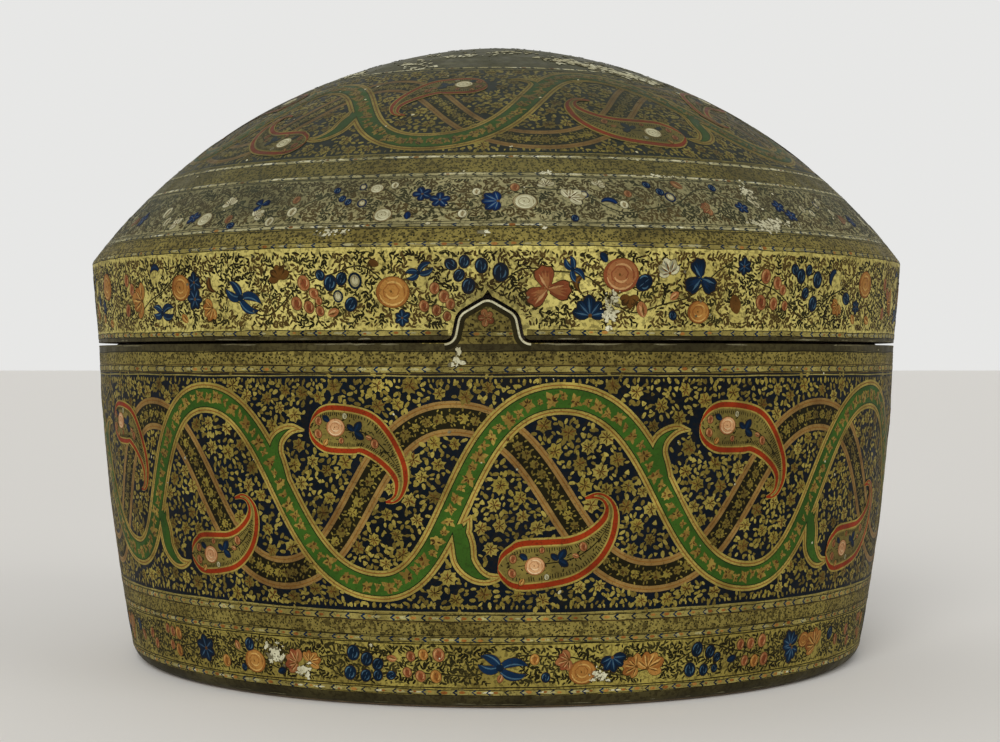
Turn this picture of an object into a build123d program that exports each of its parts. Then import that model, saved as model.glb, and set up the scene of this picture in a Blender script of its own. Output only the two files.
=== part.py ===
from build123d import *
import math
import os

# Round papier mache box with a domed lift-off lid.
# Millimetres, +Z up, origin at the centre of the flat foot. The closing tab is at the front, towards -Y.

# Outside of the body. The wall draws in by wall_taper from the seam down to the foot
seam_radius = 133.0
wall_taper = 11.7
body_height = 102.3
wall_bow = 2.0
foot_round = 6.0

# Outside of the lid. The rim flares from the seam up to the shoulder, and the centre of the dome's long arc
# lies dome_overreach past the axis, so that the dome is a little pointed under its small round crown
rim_flare = 2.2
rim_height = 26.9
shoulder_round = 3.0
dome_rise = 73.8
dome_overreach = 11.63
crown_radius = 80.0

# Layers, from the outside in
gesso_thickness = 0.8
pulp_wall = 4.5
pulp_floor = 5.5
lining_thickness = 0.7
paste_film = 0.05
inner_corner = 7.0

# The gesso stops this far above the table, where the foot is worn back to the pulp
foot_wear = 0.8

# The saw cut that parts the lid from the body. It leaves a tab on the body, a little left of the middle
saw_kerf = 0.9
tab_offset = -2.4
tab_foot_width = 18.8
tab_shoulder_width = 15.6
tab_shoulder_height = 7.8
tab_height = 12.4
tab_foot_round = 3.0
tab_shoulder_round = 4.0
tab_tip_round = 3.5
tab_blend_width = 36.0
notch_point = 1.2
notch_point_width = 9.0

# Pasted collar that keeps the lid in place
collar_thickness = 2.5
collar_rise = 15.0
collar_depth = 22.0
collar_clearance = 0.6
collar_seat_gap = 0.3
collar_lead = 0.8

# Paper butted against paper leaves a hair of room
paper_gap = 0.1

# Radii and heights that follow from the sizes above
foot_radius = seam_radius - wall_taper
shoulder_radius = seam_radius + rim_flare
seam_z = body_height
rim_z = seam_z + saw_kerf
shoulder_z = seam_z + rim_height
top_z = shoulder_z + dome_rise

# Depth of each layer's face below the painted outside
hollow_inset = gesso_thickness + pulp_wall
paper_inset = hollow_inset + paste_film
lined_inset = paper_inset + lining_thickness


def body_radius(z, inset=0.0):
    """Outer radius of the body at height z, on the slightly bowed wall, less the layers outside."""
    share = z / body_height
    bow = 4 * wall_bow * share * (1 - share)
    return foot_radius + (seam_radius - foot_radius) * share + bow - inset


def rim_radius(z, inset=0.0):
    """Outer radius of the lid's upright rim at height z, less the layers outside."""
    share = (z - seam_z) / rim_height
    return seam_radius + (shoulder_radius - seam_radius) * share - inset


def dome_arc():
    """Centre height and radius of the dome's long arc.

    The arc passes through the shoulder and meets the crown arc at a tangent, so its radius falls evenly as its
    centre rises over the crown arc's centre, and the height of that centre solves a quadratic.
    """
    crown_z = top_z - crown_radius
    shoulder_up = shoulder_z - crown_z
    shoulder_reach = shoulder_radius + dome_overreach
    squares = shoulder_reach**2 - dome_overreach**2 + shoulder_up**2 + crown_radius**2
    level_radius = squares / (2 * crown_radius)
    slope = shoulder_up / crown_radius
    extra = level_radius - crown_radius
    root = math.sqrt(extra**2 - (1 - slope**2) * dome_overreach**2)
    centre_up = -(slope * extra + root) / (1 - slope**2)
    return crown_z + centre_up, level_radius - slope * centre_up


def arc_point(centre_r, centre_z, radius, angle):
    return (centre_r + radius * math.cos(angle), centre_z + radius * math.sin(angle))


def lid_form(inset, edge_z):
    """Solid of revolution inside the lid's outer form, inset by the layers outside it."""
    centre_z, dome_radius = dome_arc()
    centre_r = -dome_overreach
    crown_z = top_z - crown_radius
    arc_radius = dome_radius - inset
    tip_radius = crown_radius - inset
    rim_top_r = shoulder_radius - inset
    start_angle = math.acos((rim_top_r - centre_r) / arc_radius)
    join_angle = math.atan2(crown_z - centre_z, -centre_r)
    start = arc_point(centre_r, centre_z, arc_radius, start_angle)
    middle = arc_point(centre_r, centre_z, arc_radius, (start_angle + join_angle) / 2)
    join = arc_point(centre_r, centre_z, arc_radius, join_angle)
    tip_angle = (join_angle + math.pi / 2) / 2
    tip_middle = arc_point(0, crown_z, tip_radius, tip_angle)
    tip = (0, crown_z + tip_radius)
    edge = (rim_radius(edge_z, inset), edge_z)
    axis_foot = (0, edge_z)
    outline = [
        Line(axis_foot, edge),
        Line(edge, start),
        ThreePointArc(start, middle, join),
        ThreePointArc(join, tip_middle, tip),
        Line(tip, axis_foot),
    ]
    section = make_face(outline)
    shoulder = section.vertices().sort_by_distance((start[0], start[1], 0))[0]
    section = fillet(shoulder, shoulder_round)
    return revolve(Plane.XZ * section, Axis.Z)


def body_form(inset, floor_z, top, corner):
    """Solid of revolution inside the body's outer form, from floor_z up to top."""
    low = (body_radius(floor_z, inset), floor_z)
    middle_z = (floor_z + top) / 2
    middle = (body_radius(middle_z, inset), middle_z)
    high = (body_radius(top, inset), top)
    outline = [
        Line((0, floor_z), low),
        ThreePointArc(low, middle, high),
        Line(high, (0, top)),
        Line((0, top), (0, floor_z)),
    ]
    section = make_face(outline)
    toe = section.vertices().sort_by_distance((low[0], low[1], 0))[0]
    section = fillet(toe, corner)
    return revolve(Plane.XZ * section, Axis.Z)


def tab_face(gap=0.0):
    """Outline of the tab seen from the front, grown by gap on every side.

    It stands on a strip that runs level with the seam on both sides, so the corners at its foot are rounded.
    """
    foot = tab_foot_width / 2
    shoulder = tab_shoulder_width / 2
    reach = tab_blend_width / 2
    right_side = [
        (reach, -tab_height),
        (reach, 0),
        (foot, 0),
        (shoulder, tab_shoulder_height),
    ]
    left_side = [(-x, z) for x, z in reversed(right_side)]
    face = make_face(Polyline(*right_side, (0, tab_height), *left_side, close=True))
    rounds = [
        (foot, 0, tab_foot_round),
        (-foot, 0, tab_foot_round),
        (shoulder, tab_shoulder_height, tab_shoulder_round),
        (-shoulder, tab_shoulder_height, tab_shoulder_round),
        (0, tab_height, tab_tip_round),
    ]
    for x, z, radius in rounds:
        corner = face.vertices().sort_by_distance((x, z, 0))[0]
        face = fillet(corner, radius)
    return offset(face, gap, kind=Kind.ARC) if gap else face


def from_front(face):
    """Prism of an outline drawn at the seam, from the axis out through the front wall."""
    front = Plane((tab_offset, 0, seam_z), x_dir=(1, 0, 0), z_dir=(0, -1, 0))
    return extrude(front * face, amount=shoulder_radius * 1.2)


def tab_prism():
    return from_front(tab_face())


def notch_prism():
    """The tab's outline wider by the saw cut, with the small point where the two cuts met above it."""
    half = notch_point_width / 2
    tip = tab_height + saw_kerf + notch_point
    peak = Polyline((-half, tab_shoulder_height), (half, tab_shoulder_height), (0, tip), close=True)
    return from_front(tab_face(saw_kerf) + make_face(peak))


def rim_ring(outer_inset, inner_inset):
    """A layer of the rim's upright wall, tall enough for the tab, which lies flush in the lid."""
    low_z = seam_z
    high_z = seam_z + tab_height + 1
    outline = Polyline(
        (rim_radius(low_z, inner_inset), low_z),
        (rim_radius(low_z, outer_inset), low_z),
        (rim_radius(high_z, outer_inset), high_z),
        (rim_radius(high_z, inner_inset), high_z),
        close=True,
    )
    return revolve(Plane.XZ * make_face(outline), Axis.Z)


def level_band(low_z, high_z):
    """Everything between two heights."""
    disc = Cylinder(shoulder_radius * 1.2, high_z - low_z, align=(Align.CENTER, Align.CENTER, Align.MIN))
    return Pos(0, 0, low_z) * disc


def hollow(depth=0.0):
    """Space inside the pulp body, drawn in by depth on its wall, floor and corner."""
    return body_form(hollow_inset + depth, pulp_floor + depth, seam_z, inner_corner - depth)


def lining_paper():
    """Paper skin on the whole inside of the body, before it is parted into wall strip and floor disc."""
    return hollow(paste_film) - hollow(paste_film + lining_thickness)


def box_shell():
    """Pulp body: bowed wall, thick floor and the tab, in one."""
    outside = body_form(gesso_thickness, 0, seam_z, foot_round - gesso_thickness)
    tab = rim_ring(gesso_thickness, hollow_inset) & tab_prism()
    return outside - hollow() + tab


def box_gesso():
    """Painted gesso coat on the outside of the body and its tab."""
    outside = body_form(0, 0, seam_z, foot_round)
    inside = body_form(gesso_thickness, 0, seam_z, foot_round - gesso_thickness)
    tab = rim_ring(0, gesso_thickness) & tab_prism()
    return outside - inside - level_band(0, foot_wear) + tab


def wall_lining():
    """Paper strip pasted round the inside of the wall, from the floor paper up to the collar."""
    return lining_paper() & level_band(pulp_floor + inner_corner, seam_z - collar_depth - paper_gap)


def floor_lining():
    """Paper disc pasted on the floor and turned up round its corner."""
    return lining_paper() & level_band(pulp_floor, pulp_floor + inner_corner - paper_gap)


def inner_collar():
    """Pasted strip inside the mouth. Its sloping seat carries the lid, and its top guides the lid down."""
    lid_edge = rim_radius(rim_z, lined_inset)
    guide = lid_edge - collar_clearance
    bore = guide - collar_thickness
    seat = lid_edge + saw_kerf - collar_seat_gap
    top = seam_z + collar_rise
    root = hollow(paste_film) - body_form(seam_radius - bore, pulp_floor, seam_z, inner_corner)
    root = root & level_band(seam_z - collar_depth, seam_z)
    outline = Polyline(
        (bore, seam_z),
        (seat, seam_z),
        (guide, seam_z + seat - guide),
        (guide, top - collar_lead),
        (guide - collar_lead, top),
        (bore, top),
        close=True,
    )
    return root + revolve(Plane.XZ * make_face(outline), Axis.Z)


def lid_layer(outer_inset, inner_inset):
    """One layer of the lid, cut away round the tab."""
    return lid_form(outer_inset, rim_z) - lid_form(inner_inset, rim_z) - notch_prism()


def lid_gesso():
    return lid_layer(0, gesso_thickness)


def lid_shell():
    return lid_layer(gesso_thickness, hollow_inset)


def lid_lining():
    return lid_layer(paper_inset, lined_inset)


pieces = {
    "box_shell": box_shell,
    "box_gesso": box_gesso,
    "wall_lining": wall_lining,
    "floor_lining": floor_lining,
    "inner_collar": inner_collar,
    "lid_shell": lid_shell,
    "lid_gesso": lid_gesso,
    "lid_lining": lid_lining,
}

os.makedirs("parts", exist_ok=True)
for name, make_piece in pieces.items():
    piece = make_piece()
    export_step(piece, f"parts/{name}.step")
    print(name, f"{piece.volume:.0f} mm3", len(piece.solids()), "solid")
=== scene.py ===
import math

import bmesh
import bpy
import numpy as np
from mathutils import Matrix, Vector


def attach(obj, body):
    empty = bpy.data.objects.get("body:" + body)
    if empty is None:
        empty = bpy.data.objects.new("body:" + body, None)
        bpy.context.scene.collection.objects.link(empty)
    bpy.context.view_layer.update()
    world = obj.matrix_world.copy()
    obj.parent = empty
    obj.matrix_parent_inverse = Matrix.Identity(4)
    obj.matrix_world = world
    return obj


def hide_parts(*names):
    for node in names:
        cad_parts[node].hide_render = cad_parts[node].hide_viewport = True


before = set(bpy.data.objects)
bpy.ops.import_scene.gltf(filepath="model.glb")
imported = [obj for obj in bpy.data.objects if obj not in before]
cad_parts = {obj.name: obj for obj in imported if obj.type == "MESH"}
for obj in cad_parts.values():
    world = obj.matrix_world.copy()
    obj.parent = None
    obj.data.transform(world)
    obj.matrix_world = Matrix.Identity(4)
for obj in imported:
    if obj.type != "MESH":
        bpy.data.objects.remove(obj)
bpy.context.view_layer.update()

# Round papier mache box with a domed lid, painted and varnished all over.
# Shapes are worked out in millimetres on a flat board and wrapped round the box:
# x runs round the box, as millimetres at boardRadius from the front, y runs up the wall or over the lid.
mm = 0.001
rng = np.random.default_rng(41)


def pick(count):
    return int(rng.integers(0, count))


def chance(share):
    return rng.random() < share


def anyTurn():
    return rng.uniform(0, 6)


form = {
    "seamRadius": 133.0,
    "wallTaper": 11.7,
    "bodyHeight": 102.3,
    "wallBow": 2.0,
    "footRound": 6.0,
    "footWear": 0.8,
    "footSlope": 0.1848,  # how much the wall leans out just above the foot's round
    "sectionTop": 118.0,  # the wall's section runs on to here for the tab
    "kerf": 0.9,
    "rimFlare": 2.2,
    "rimHeight": 26.9,
    "shoulderRound": 3.0,
    "shoulderTurn": 20.45,  # half of the turn from the rim to the dome, in degrees
    "domeRise": 73.8,
    "domeOverreach": 11.63,
    "crownRadius": 80.0,
    "coat": 0.78,
    "boardRadius": 131.0,
}
girth = 2 * math.pi * form["boardRadius"]
seamZ = form["bodyHeight"]
rimZ = seamZ + form["kerf"]
shoulderZ = seamZ + form["rimHeight"]
shoulderRadius = form["seamRadius"] + form["rimFlare"]
rimLean = math.atan(form["rimFlare"] / form["rimHeight"])


def newObject(name, data):
    thing = bpy.data.objects.new(name, data)
    bpy.context.scene.collection.objects.link(thing)
    return thing


def meshOf(bm, name):
    mesh = bpy.data.meshes.new(name)
    bm.to_mesh(mesh)
    bm.free()
    return mesh


# Camera, from the fitted view of the photograph
view = {
    "distance": 649.0,
    "height": 98.04,
    "focalPixels": 1896.0,
    "axisPixel": 496.5,
    "imageWidth": 1000,
    "sensor": 36.0,
    "pitch": -0.372,
}


def setCamera():
    data = bpy.data.cameras.new("camera")
    data.sensor_width = view["sensor"]
    data.lens = view["focalPixels"] * view["sensor"] / view["imageWidth"]
    data.clip_start = 0.01
    data.clip_end = 20.0
    camera = newObject("camera", data)
    camera.location = (0, -view["distance"] * mm, view["height"] * mm)
    yaw = math.atan((view["imageWidth"] / 2 - view["axisPixel"]) / view["focalPixels"])
    camera.rotation_euler = (math.radians(90 + view["pitch"]), 0, -yaw)
    bpy.context.scene.camera = camera


setCamera()
bpy.context.scene.view_settings.view_transform = "Standard"
print("camera set")


# The painted surface, as a section from the foot to the crown
def wallRadius(z):
    share = np.asarray(z) / seamZ
    wall = form["seamRadius"] - form["wallTaper"] * (1 - share) + 4 * form["wallBow"] * share * (1 - share)
    rim = form["seamRadius"] + form["rimFlare"] * (np.asarray(z) - seamZ) / form["rimHeight"]
    return np.where(share < 1, wall, rim)


def domeArc():
    # height of the centre of the dome's long arc, and its radius, tangent to the crown arc on the axis
    crown = shoulderZ + form["domeRise"] - form["crownRadius"]
    up = shoulderZ - crown
    over = form["domeOverreach"]
    squares = (shoulderRadius + over) ** 2 - over ** 2 + up ** 2 + form["crownRadius"] ** 2
    level = squares / (2 * form["crownRadius"])
    slope = up / form["crownRadius"]
    extra = level - form["crownRadius"]
    root = math.sqrt(extra ** 2 - (1 - slope ** 2) * over ** 2)
    rise = -(slope * extra + root) / (1 - slope ** 2)
    return crown + rise, level - slope * rise, crown


domeCentre, domeRadius, crownCentre = domeArc()


def surfaceOf(body, at, radius, z):
    at, radius, z = (np.array(values, float) for values in (at, radius, z))
    run = np.hypot(np.diff(radius), np.diff(z))
    middle = (radius[1:] + radius[:-1]) / 2
    board = np.concatenate([[0], np.cumsum(form["boardRadius"] * run / np.maximum(middle, 0.5))])
    outR, outZ = np.gradient(z), -np.gradient(radius)
    size = np.hypot(outR, outZ)
    return {"body": body, "at": at, "r": radius, "z": z, "board": board,
            "outR": outR / size, "outZ": outZ / size}


def bodySurface():
    # y is the height. The foot is rounded, and the section runs on past the seam for the tab
    lean = math.atan(form["footSlope"])
    roundR = form["footRound"]
    joinZ = roundR * (1 - math.sin(lean))
    centre = float(wallRadius(joinZ)) - roundR * math.cos(lean)
    low = math.asin((form["footWear"] - roundR) / roundR)
    turns = np.linspace(low, -lean, 9)[:-1]
    above = np.linspace(seamZ, form["sectionTop"], 12)[1:]
    z = np.concatenate([roundR * (1 + np.sin(turns)), np.linspace(joinZ, seamZ, 80), above])
    foot = centre + np.sqrt(np.maximum(roundR ** 2 - (z - roundR) ** 2, 0))
    radius = np.where(z < joinZ, foot, wallRadius(z))
    return surfaceOf("box", z, radius, z)


def lidSurface():
    # y is the run over the lid from the shoulder, below nought on the rim and up to the crown above it
    cut = form["shoulderRound"] * math.tan(math.radians(form["shoulderTurn"]))
    s = list(np.linspace((rimZ - shoulderZ) / math.cos(rimLean), -cut, 24))
    z = [shoulderZ + v * math.cos(rimLean) for v in s]
    r = [shoulderRadius + v * math.sin(rimLean) for v in s]
    startAngle = math.atan2(shoulderZ - domeCentre, shoulderRadius + form["domeOverreach"])
    joinAngle = math.atan2(crownCentre - domeCentre, form["domeOverreach"])
    longRun = domeRadius * (joinAngle - startAngle)

    def pointOn(v):
        angle = startAngle + v / domeRadius
        return domeRadius * math.cos(angle) - form["domeOverreach"], domeRadius * math.sin(angle) + domeCentre

    def add(run, radius, height):
        s.append(run)
        r.append(radius)
        z.append(height)

    ends = (r[-1], z[-1]), (shoulderRadius, shoulderZ), pointOn(cut)
    for t in (0.25, 0.5, 0.75):
        # on the way round the shoulder, between the rim and the dome
        weights = ((1 - t) ** 2, 2 * t * (1 - t), t ** 2)
        add(cut * (2 * t - 1), *(sum(w * p[i] for w, p in zip(weights, ends)) for i in (0, 1)))
    for v in np.linspace(cut, longRun, 90):
        add(v, *pointOn(v))
    crownR = form["crownRadius"]
    for angle in np.linspace(0, math.pi / 2 - joinAngle, 8)[1:]:
        add(longRun + crownR * angle, crownR * math.cos(joinAngle + angle),
            crownCentre + crownR * math.sin(joinAngle + angle))
    r[-1] = 0.0
    return surfaceOf("lid", s, r, z)


surfaces = {"wall": bodySurface(), "lid": lidSurface()}
crownRun = surfaces["lid"]["at"][-1]


def rimAt(z):
    return (z - shoulderZ) / math.cos(rimLean)


def localRadius(surface, y):
    s = surfaces[surface]
    return np.interp(y, s["at"], s["r"])


def degrees(azimuth):
    return math.radians(azimuth) * form["boardRadius"]


def boardScale(surface, y):
    return form["boardRadius"] / localRadius(surface, y)


def onBoard(surface, x, y):
    # the board is drawn so that a shape keeps its proportions: returns its place and the local scale
    s = surfaces[surface]
    return np.asarray(x, float), np.interp(y, s["at"], s["board"]), boardScale(surface, y)


def wrap(surface, u, v, height):
    s = surfaces[surface]
    angle = u / form["boardRadius"]
    radius = np.interp(v, s["board"], s["r"]) + height * np.interp(v, s["board"], s["outR"])
    z = np.interp(v, s["board"], s["z"]) + height * np.interp(v, s["board"], s["outZ"])
    return np.stack([radius * np.sin(angle), -radius * np.cos(angle), z], axis=-1) * mm


def around(surface, x, y, points, mirror=1, turn=0.0, stretch=(1.0, 1.0)):
    # points given in real millimetres about a place, as places on the surface
    points = np.array(points, float)
    c, s = math.cos(turn), math.sin(turn)
    dx = mirror * points[:, 0] * stretch[0]
    dy = points[:, 1] * stretch[1]
    out = points.copy()
    out[:, 0] = x + (c * dx - s * dy) * form["boardRadius"] / localRadius(surface, y)
    out[:, 1] = y + s * dx + c * dy
    if points.shape[1] > 2:
        out[:, 2] = points[:, 2] * (stretch[0] + stretch[1]) / 2
    return out


def beside(surface, x, y, dx, dy, mirror=1, stretch=(1.0, 1.0)):
    return around(surface, x, y, [(dx, dy)], mirror, stretch=stretch)[0]


def runOf(line):
    # the run along a line up to each of its points
    return np.concatenate([[0], np.cumsum(np.hypot(*np.diff(line[:, :2], axis=0).T))])


def onLine(line, run, place):
    return np.array([np.interp(place, run, column) for column in line.T])


def headingVector(angle, long):
    return math.cos(angle) * long, math.sin(angle) * long


# Materials
def colour(red, green, blue):
    # the values of a colour as a paint program gives them, made linear
    parts = (red, green, blue)
    return tuple(((v / 255 + 0.055) / 1.055) ** 2.4 if v > 10 else v / 255 / 12.92 for v in parts) + (1,)


class Mix:
    # a material with short ways to add its nodes
    def __init__(self, name):
        self.material = bpy.data.materials.new(name)
        self.material.use_nodes = True
        self.tree = self.material.node_tree
        self.shader = self.tree.nodes["Principled BSDF"]
        self.place = self.add("ShaderNodeTexCoord").outputs["Object"]

    def add(self, kind, **settings):
        node = self.tree.nodes.new(kind)
        for key, value in settings.items():
            setattr(node, key, value)
        return node

    def link(self, source, target):
        self.tree.links.new(source, target)

    def put(self, value, socket):
        # an even number or colour is set on the socket, and another node's output is linked to it
        if isinstance(value, (int, float, tuple)):
            socket.default_value = value
        else:
            self.link(value, socket)

    def feed(self, **values):
        for name, value in values.items():
            self.put(value, self.shader.inputs[name.replace("_", " ")])

    def noise(self, scale, detail=3.0, roughness=0.55, place=None):
        node = self.add("ShaderNodeTexNoise")
        node.inputs["Scale"].default_value = scale
        node.inputs["Detail"].default_value = detail
        node.inputs["Roughness"].default_value = roughness
        self.link(place or self.place, node.inputs["Vector"])
        return node.outputs["Fac"]

    def cells(self, scale, feature="F1"):
        node = self.add("ShaderNodeTexVoronoi", feature=feature)
        node.inputs["Scale"].default_value = scale
        self.link(self.place, node.inputs["Vector"])
        return node.outputs["Distance"]

    def between(self, value, low, high, outLow=0.0, outHigh=1.0):
        node = self.add("ShaderNodeMapRange")
        for key, number in zip(("From Min", "From Max", "To Min", "To Max"), (low, high, outLow, outHigh)):
            node.inputs[key].default_value = number
        self.link(value, node.inputs["Value"])
        return node.outputs["Result"]

    def times(self, a, b, operation="MULTIPLY"):
        node = self.add("ShaderNodeMath", operation=operation)
        self.put(a, node.inputs[0])
        self.put(b, node.inputs[1])
        return node.outputs[0]

    def distance(self, place):
        node = self.add("ShaderNodeVectorMath", operation="DISTANCE")
        self.link(self.place, node.inputs[0])
        node.inputs[1].default_value = place
        return node.outputs["Value"]

    def blend(self, amount, a, b):
        node = self.add("ShaderNodeMix", data_type="RGBA")
        for value, socket in zip((amount, a, b), (0, 6, 7)):
            self.put(value, node.inputs[socket])
        return node.outputs[2]

    def bump(self, height, strength, distance):
        node = self.add("ShaderNodeBump")
        node.inputs["Strength"].default_value = strength
        node.inputs["Distance"].default_value = distance * mm
        self.link(height, node.inputs["Height"])
        self.feed(Normal=node.outputs["Normal"])


# grime and dark wax on the varnish, and the colours of the painted sheen and painted crown shade
varnish = {
    "coat": 0.03, "coatRoughness": 0.3, "specular": 0.03, "tint": (1.0, 0.92, 0.6, 1),
    "grime": colour(30, 24, 12), "paintedSheen": colour(56, 60, 47), "smear": colour(26, 20, 11),
    "paintedCrownShade": colour(22, 25, 18),
    "smearPlace": (-0.0024, -0.134, 0.108), "sheenlessPlace": (-0.01, -0.115, 0.15),
}


def varnished(mix, base):
    # the varnish carries a painted sheen: a grey olive reflection laid into the colour over the dome, in slow
    # clouds and most away from its front, and painted shade that darkens it towards the crown. Dark wax has
    # gathered round the notch
    axes = mix.add("ShaderNodeSeparateXYZ")
    mix.link(mix.place, axes.inputs[0])
    height = axes.outputs["Z"]
    cloud = mix.between(mix.noise(17, 4), 0.32, 0.68, 0.22, 0.62)
    aside = mix.between(mix.distance(varnish["sheenlessPlace"]), 0.05, 0.15, 0.3, 0.55)
    sheenShare = mix.times(cloud, aside, "MAXIMUM")
    # painted sheen: a grey olive reflection over the dome, in clouds, least at its front
    base = mix.blend(mix.times(mix.between(height, 0.127, 0.142), sheenShare), base, varnish["paintedSheen"])
    # painted shade: the colour darkens with height towards the crown
    base = mix.blend(mix.between(height, 0.14, 0.17, 0.0, 0.28), base, varnish["paintedCrownShade"])
    near = mix.between(mix.distance(varnish["smearPlace"]), 0.009, 0.026, 0.6, 0.0)
    patchy = mix.between(mix.noise(120, 5, 0.65), 0.35, 0.6, 0.25, 1.0)
    base = mix.blend(mix.times(near, patchy), base, varnish["smear"])
    mix.feed(Base_Color=base, Specular_IOR_Level=varnish["specular"], Specular_Tint=varnish["tint"],
             Coat_Weight=varnish["coat"], Coat_Roughness=varnish["coatRoughness"])


def paint(name, light, dark, metal=0.0, rough=(0.4, 0.6), grime=0.35, drift=110, bumps=0.35, bare=False):
    # one brushed pigment: drifts in tone, is flecked with grime, thins in places and stands up a little
    mix = Mix(name)
    tone = mix.between(mix.noise(drift, 4), 0.34, 0.66)
    base = mix.blend(tone, dark, light)
    fleck = mix.times(mix.between(mix.noise(1500, 3, 0.6), 0.55, 0.64), grime)
    base = mix.blend(fleck, base, varnish["grime"])
    thin = mix.times(mix.between(mix.noise(420, 5, 0.7), 0.56, 0.66), grime)
    base = mix.blend(thin, base, dark)
    # a bare pigment is left without the painted sheen and painted shade of the varnish
    if bare:
        mix.feed(Base_Color=base, Specular_IOR_Level=varnish["specular"])
    else:
        varnished(mix, base)
    mix.feed(Roughness=mix.between(mix.noise(320, 4), 0.3, 0.7, *rough), Metallic=metal)
    mix.bump(mix.noise(2200, 3), bumps, 0.06)
    return mix.material


def tones(name, pairs, **settings):
    return [paint(f"{name}_{i + 1}", colour(*light), colour(*dark), **settings)
            for i, (light, dark) in enumerate(pairs)]


goldLook = {"metal": 0.3, "rough": (0.36, 0.56), "grime": 0.55}
pigments = {
    "gold": tones("shell_gold", [((138, 123, 54), (100, 87, 37)), ((112, 97, 42), (80, 68, 30)),
                                 ((156, 141, 68), (114, 100, 46))], **goldLook),
    "tanGold": tones("tan_gold", [((128, 106, 46), (98, 78, 34)), ((144, 124, 56), (112, 90, 41))],
                     metal=0.15, grime=0.4),
    "lineGold": tones("line_gold", [((160, 142, 70), (118, 101, 46))], metal=0.25, grime=0.5),
    "paleGold": tones("pale_gold", [((146, 134, 74), (104, 93, 47)), ((166, 160, 112), (128, 120, 80))],
                      metal=0.15, grime=0.6)
    # the pale tone of the lid's lines: rubbed paint with a painted highlight along them
    + tones("rubbed_sheen_line", [((160, 154, 114), (104, 98, 64))], grime=0.7, drift=60, bare=True),
    "pinkGold": tones("pink_gold", [((138, 110, 60), (104, 78, 41))], metal=0.15, grime=0.45),
    "green": tones("leaf_green", [((52, 84, 26), (35, 60, 19))], grime=0.35, drift=70),
    "darkGreen": tones("deep_green", [((26, 34, 14), (16, 22, 10))]),
    "vermilion": tones("vermilion", [((138, 46, 16), (104, 34, 13)), ((74, 32, 16), (52, 24, 12))],
                       grime=0.45),
    "orange": tones("orange", [((134, 86, 38), (106, 63, 28)), ((156, 112, 54), (130, 86, 39)),
                               ((186, 148, 84), (156, 118, 60))], grime=0.35),
    "pink": tones("rose_pink", [((122, 66, 38), (94, 48, 28)), ((142, 94, 56), (116, 71, 41)),
                                ((176, 136, 90), (146, 108, 68))], grime=0.35),
    "peach": tones("peach", [((160, 112, 70), (130, 84, 50)), ((190, 148, 104), (160, 118, 80)),
                             ((210, 182, 142), (180, 150, 110))], grime=0.3),
    "cream": tones("cream", [((132, 123, 90), (102, 94, 64)), ((172, 168, 136), (140, 135, 104)),
                             ((196, 193, 162), (164, 160, 128))], grime=0.25, bare=True),
    "blue": tones("deep_blue", [((10, 27, 44), (7, 18, 30)), ((13, 38, 64), (9, 26, 44)),
                                ((62, 90, 106), (42, 64, 80))], grime=0.3),
    "clearBlue": tones("clear_blue", [((11, 29, 58), (8, 20, 40)), ((15, 42, 84), (11, 29, 60)),
                                      ((78, 102, 114), (54, 76, 90))], grime=0.2, bare=True),
    "white": tones("chalk_white", [((146, 140, 104), (112, 106, 74)), ((182, 178, 144), (150, 144, 110)),
                                   ((110, 112, 96), (84, 86, 74))], grime=0.4),
    "brown": tones("umber", [((62, 42, 17), (40, 27, 11)), ((96, 64, 27), (70, 45, 18))]),
    "russet": tones("russet_line", [((126, 88, 38), (96, 63, 25))]),
    "black": tones("lamp_black", [((28, 26, 12), (18, 16, 8)), ((46, 42, 20), (28, 26, 12)),
                                  ((74, 58, 27), (50, 39, 18))], rough=(0.45, 0.65), grime=0.1),
    "straw": tones("straw_gold", [((118, 105, 50), (86, 75, 36))], metal=0.15, grime=0.45),
    "gesso": tones("bare_gesso", [((196, 193, 164), (152, 146, 114)), ((112, 107, 82), (75, 69, 48))],
                   rough=(0.7, 0.9), grime=0.5, bumps=0.8, bare=True),
}


def groundPaint(name, light, dark, worn, metal, speck, speckSize, rubbed):
    # the painted grounds: mottled, freckled, rubbed down to the layer below in places, and crackled
    mix = Mix(name)
    mottle = mix.between(mix.noise(46, 5, 0.6), 0.36, 0.64)
    base = mix.blend(mottle, colour(*dark), colour(*light))
    freckle = mix.times(mix.between(mix.noise(speckSize, 2, 0.5), 0.5, 0.58), speck)
    base = mix.blend(freckle, base, varnish["grime"])
    rub = mix.times(mix.between(mix.noise(30, 8, 0.72), 0.58, 0.68), rubbed)
    base = mix.blend(rub, base, colour(*worn))
    crack = mix.between(mix.cells(170, "DISTANCE_TO_EDGE"), 0.0, 0.03, 0.35, 0.0)
    varnished(mix, mix.blend(crack, base, varnish["grime"]))
    mix.feed(Roughness=mix.between(mix.noise(160, 5), 0.3, 0.7, 0.38, 0.6), Metallic=metal)
    mix.bump(mix.noise(700, 5, 0.6), 0.3, 0.12)
    return mix.material


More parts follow.
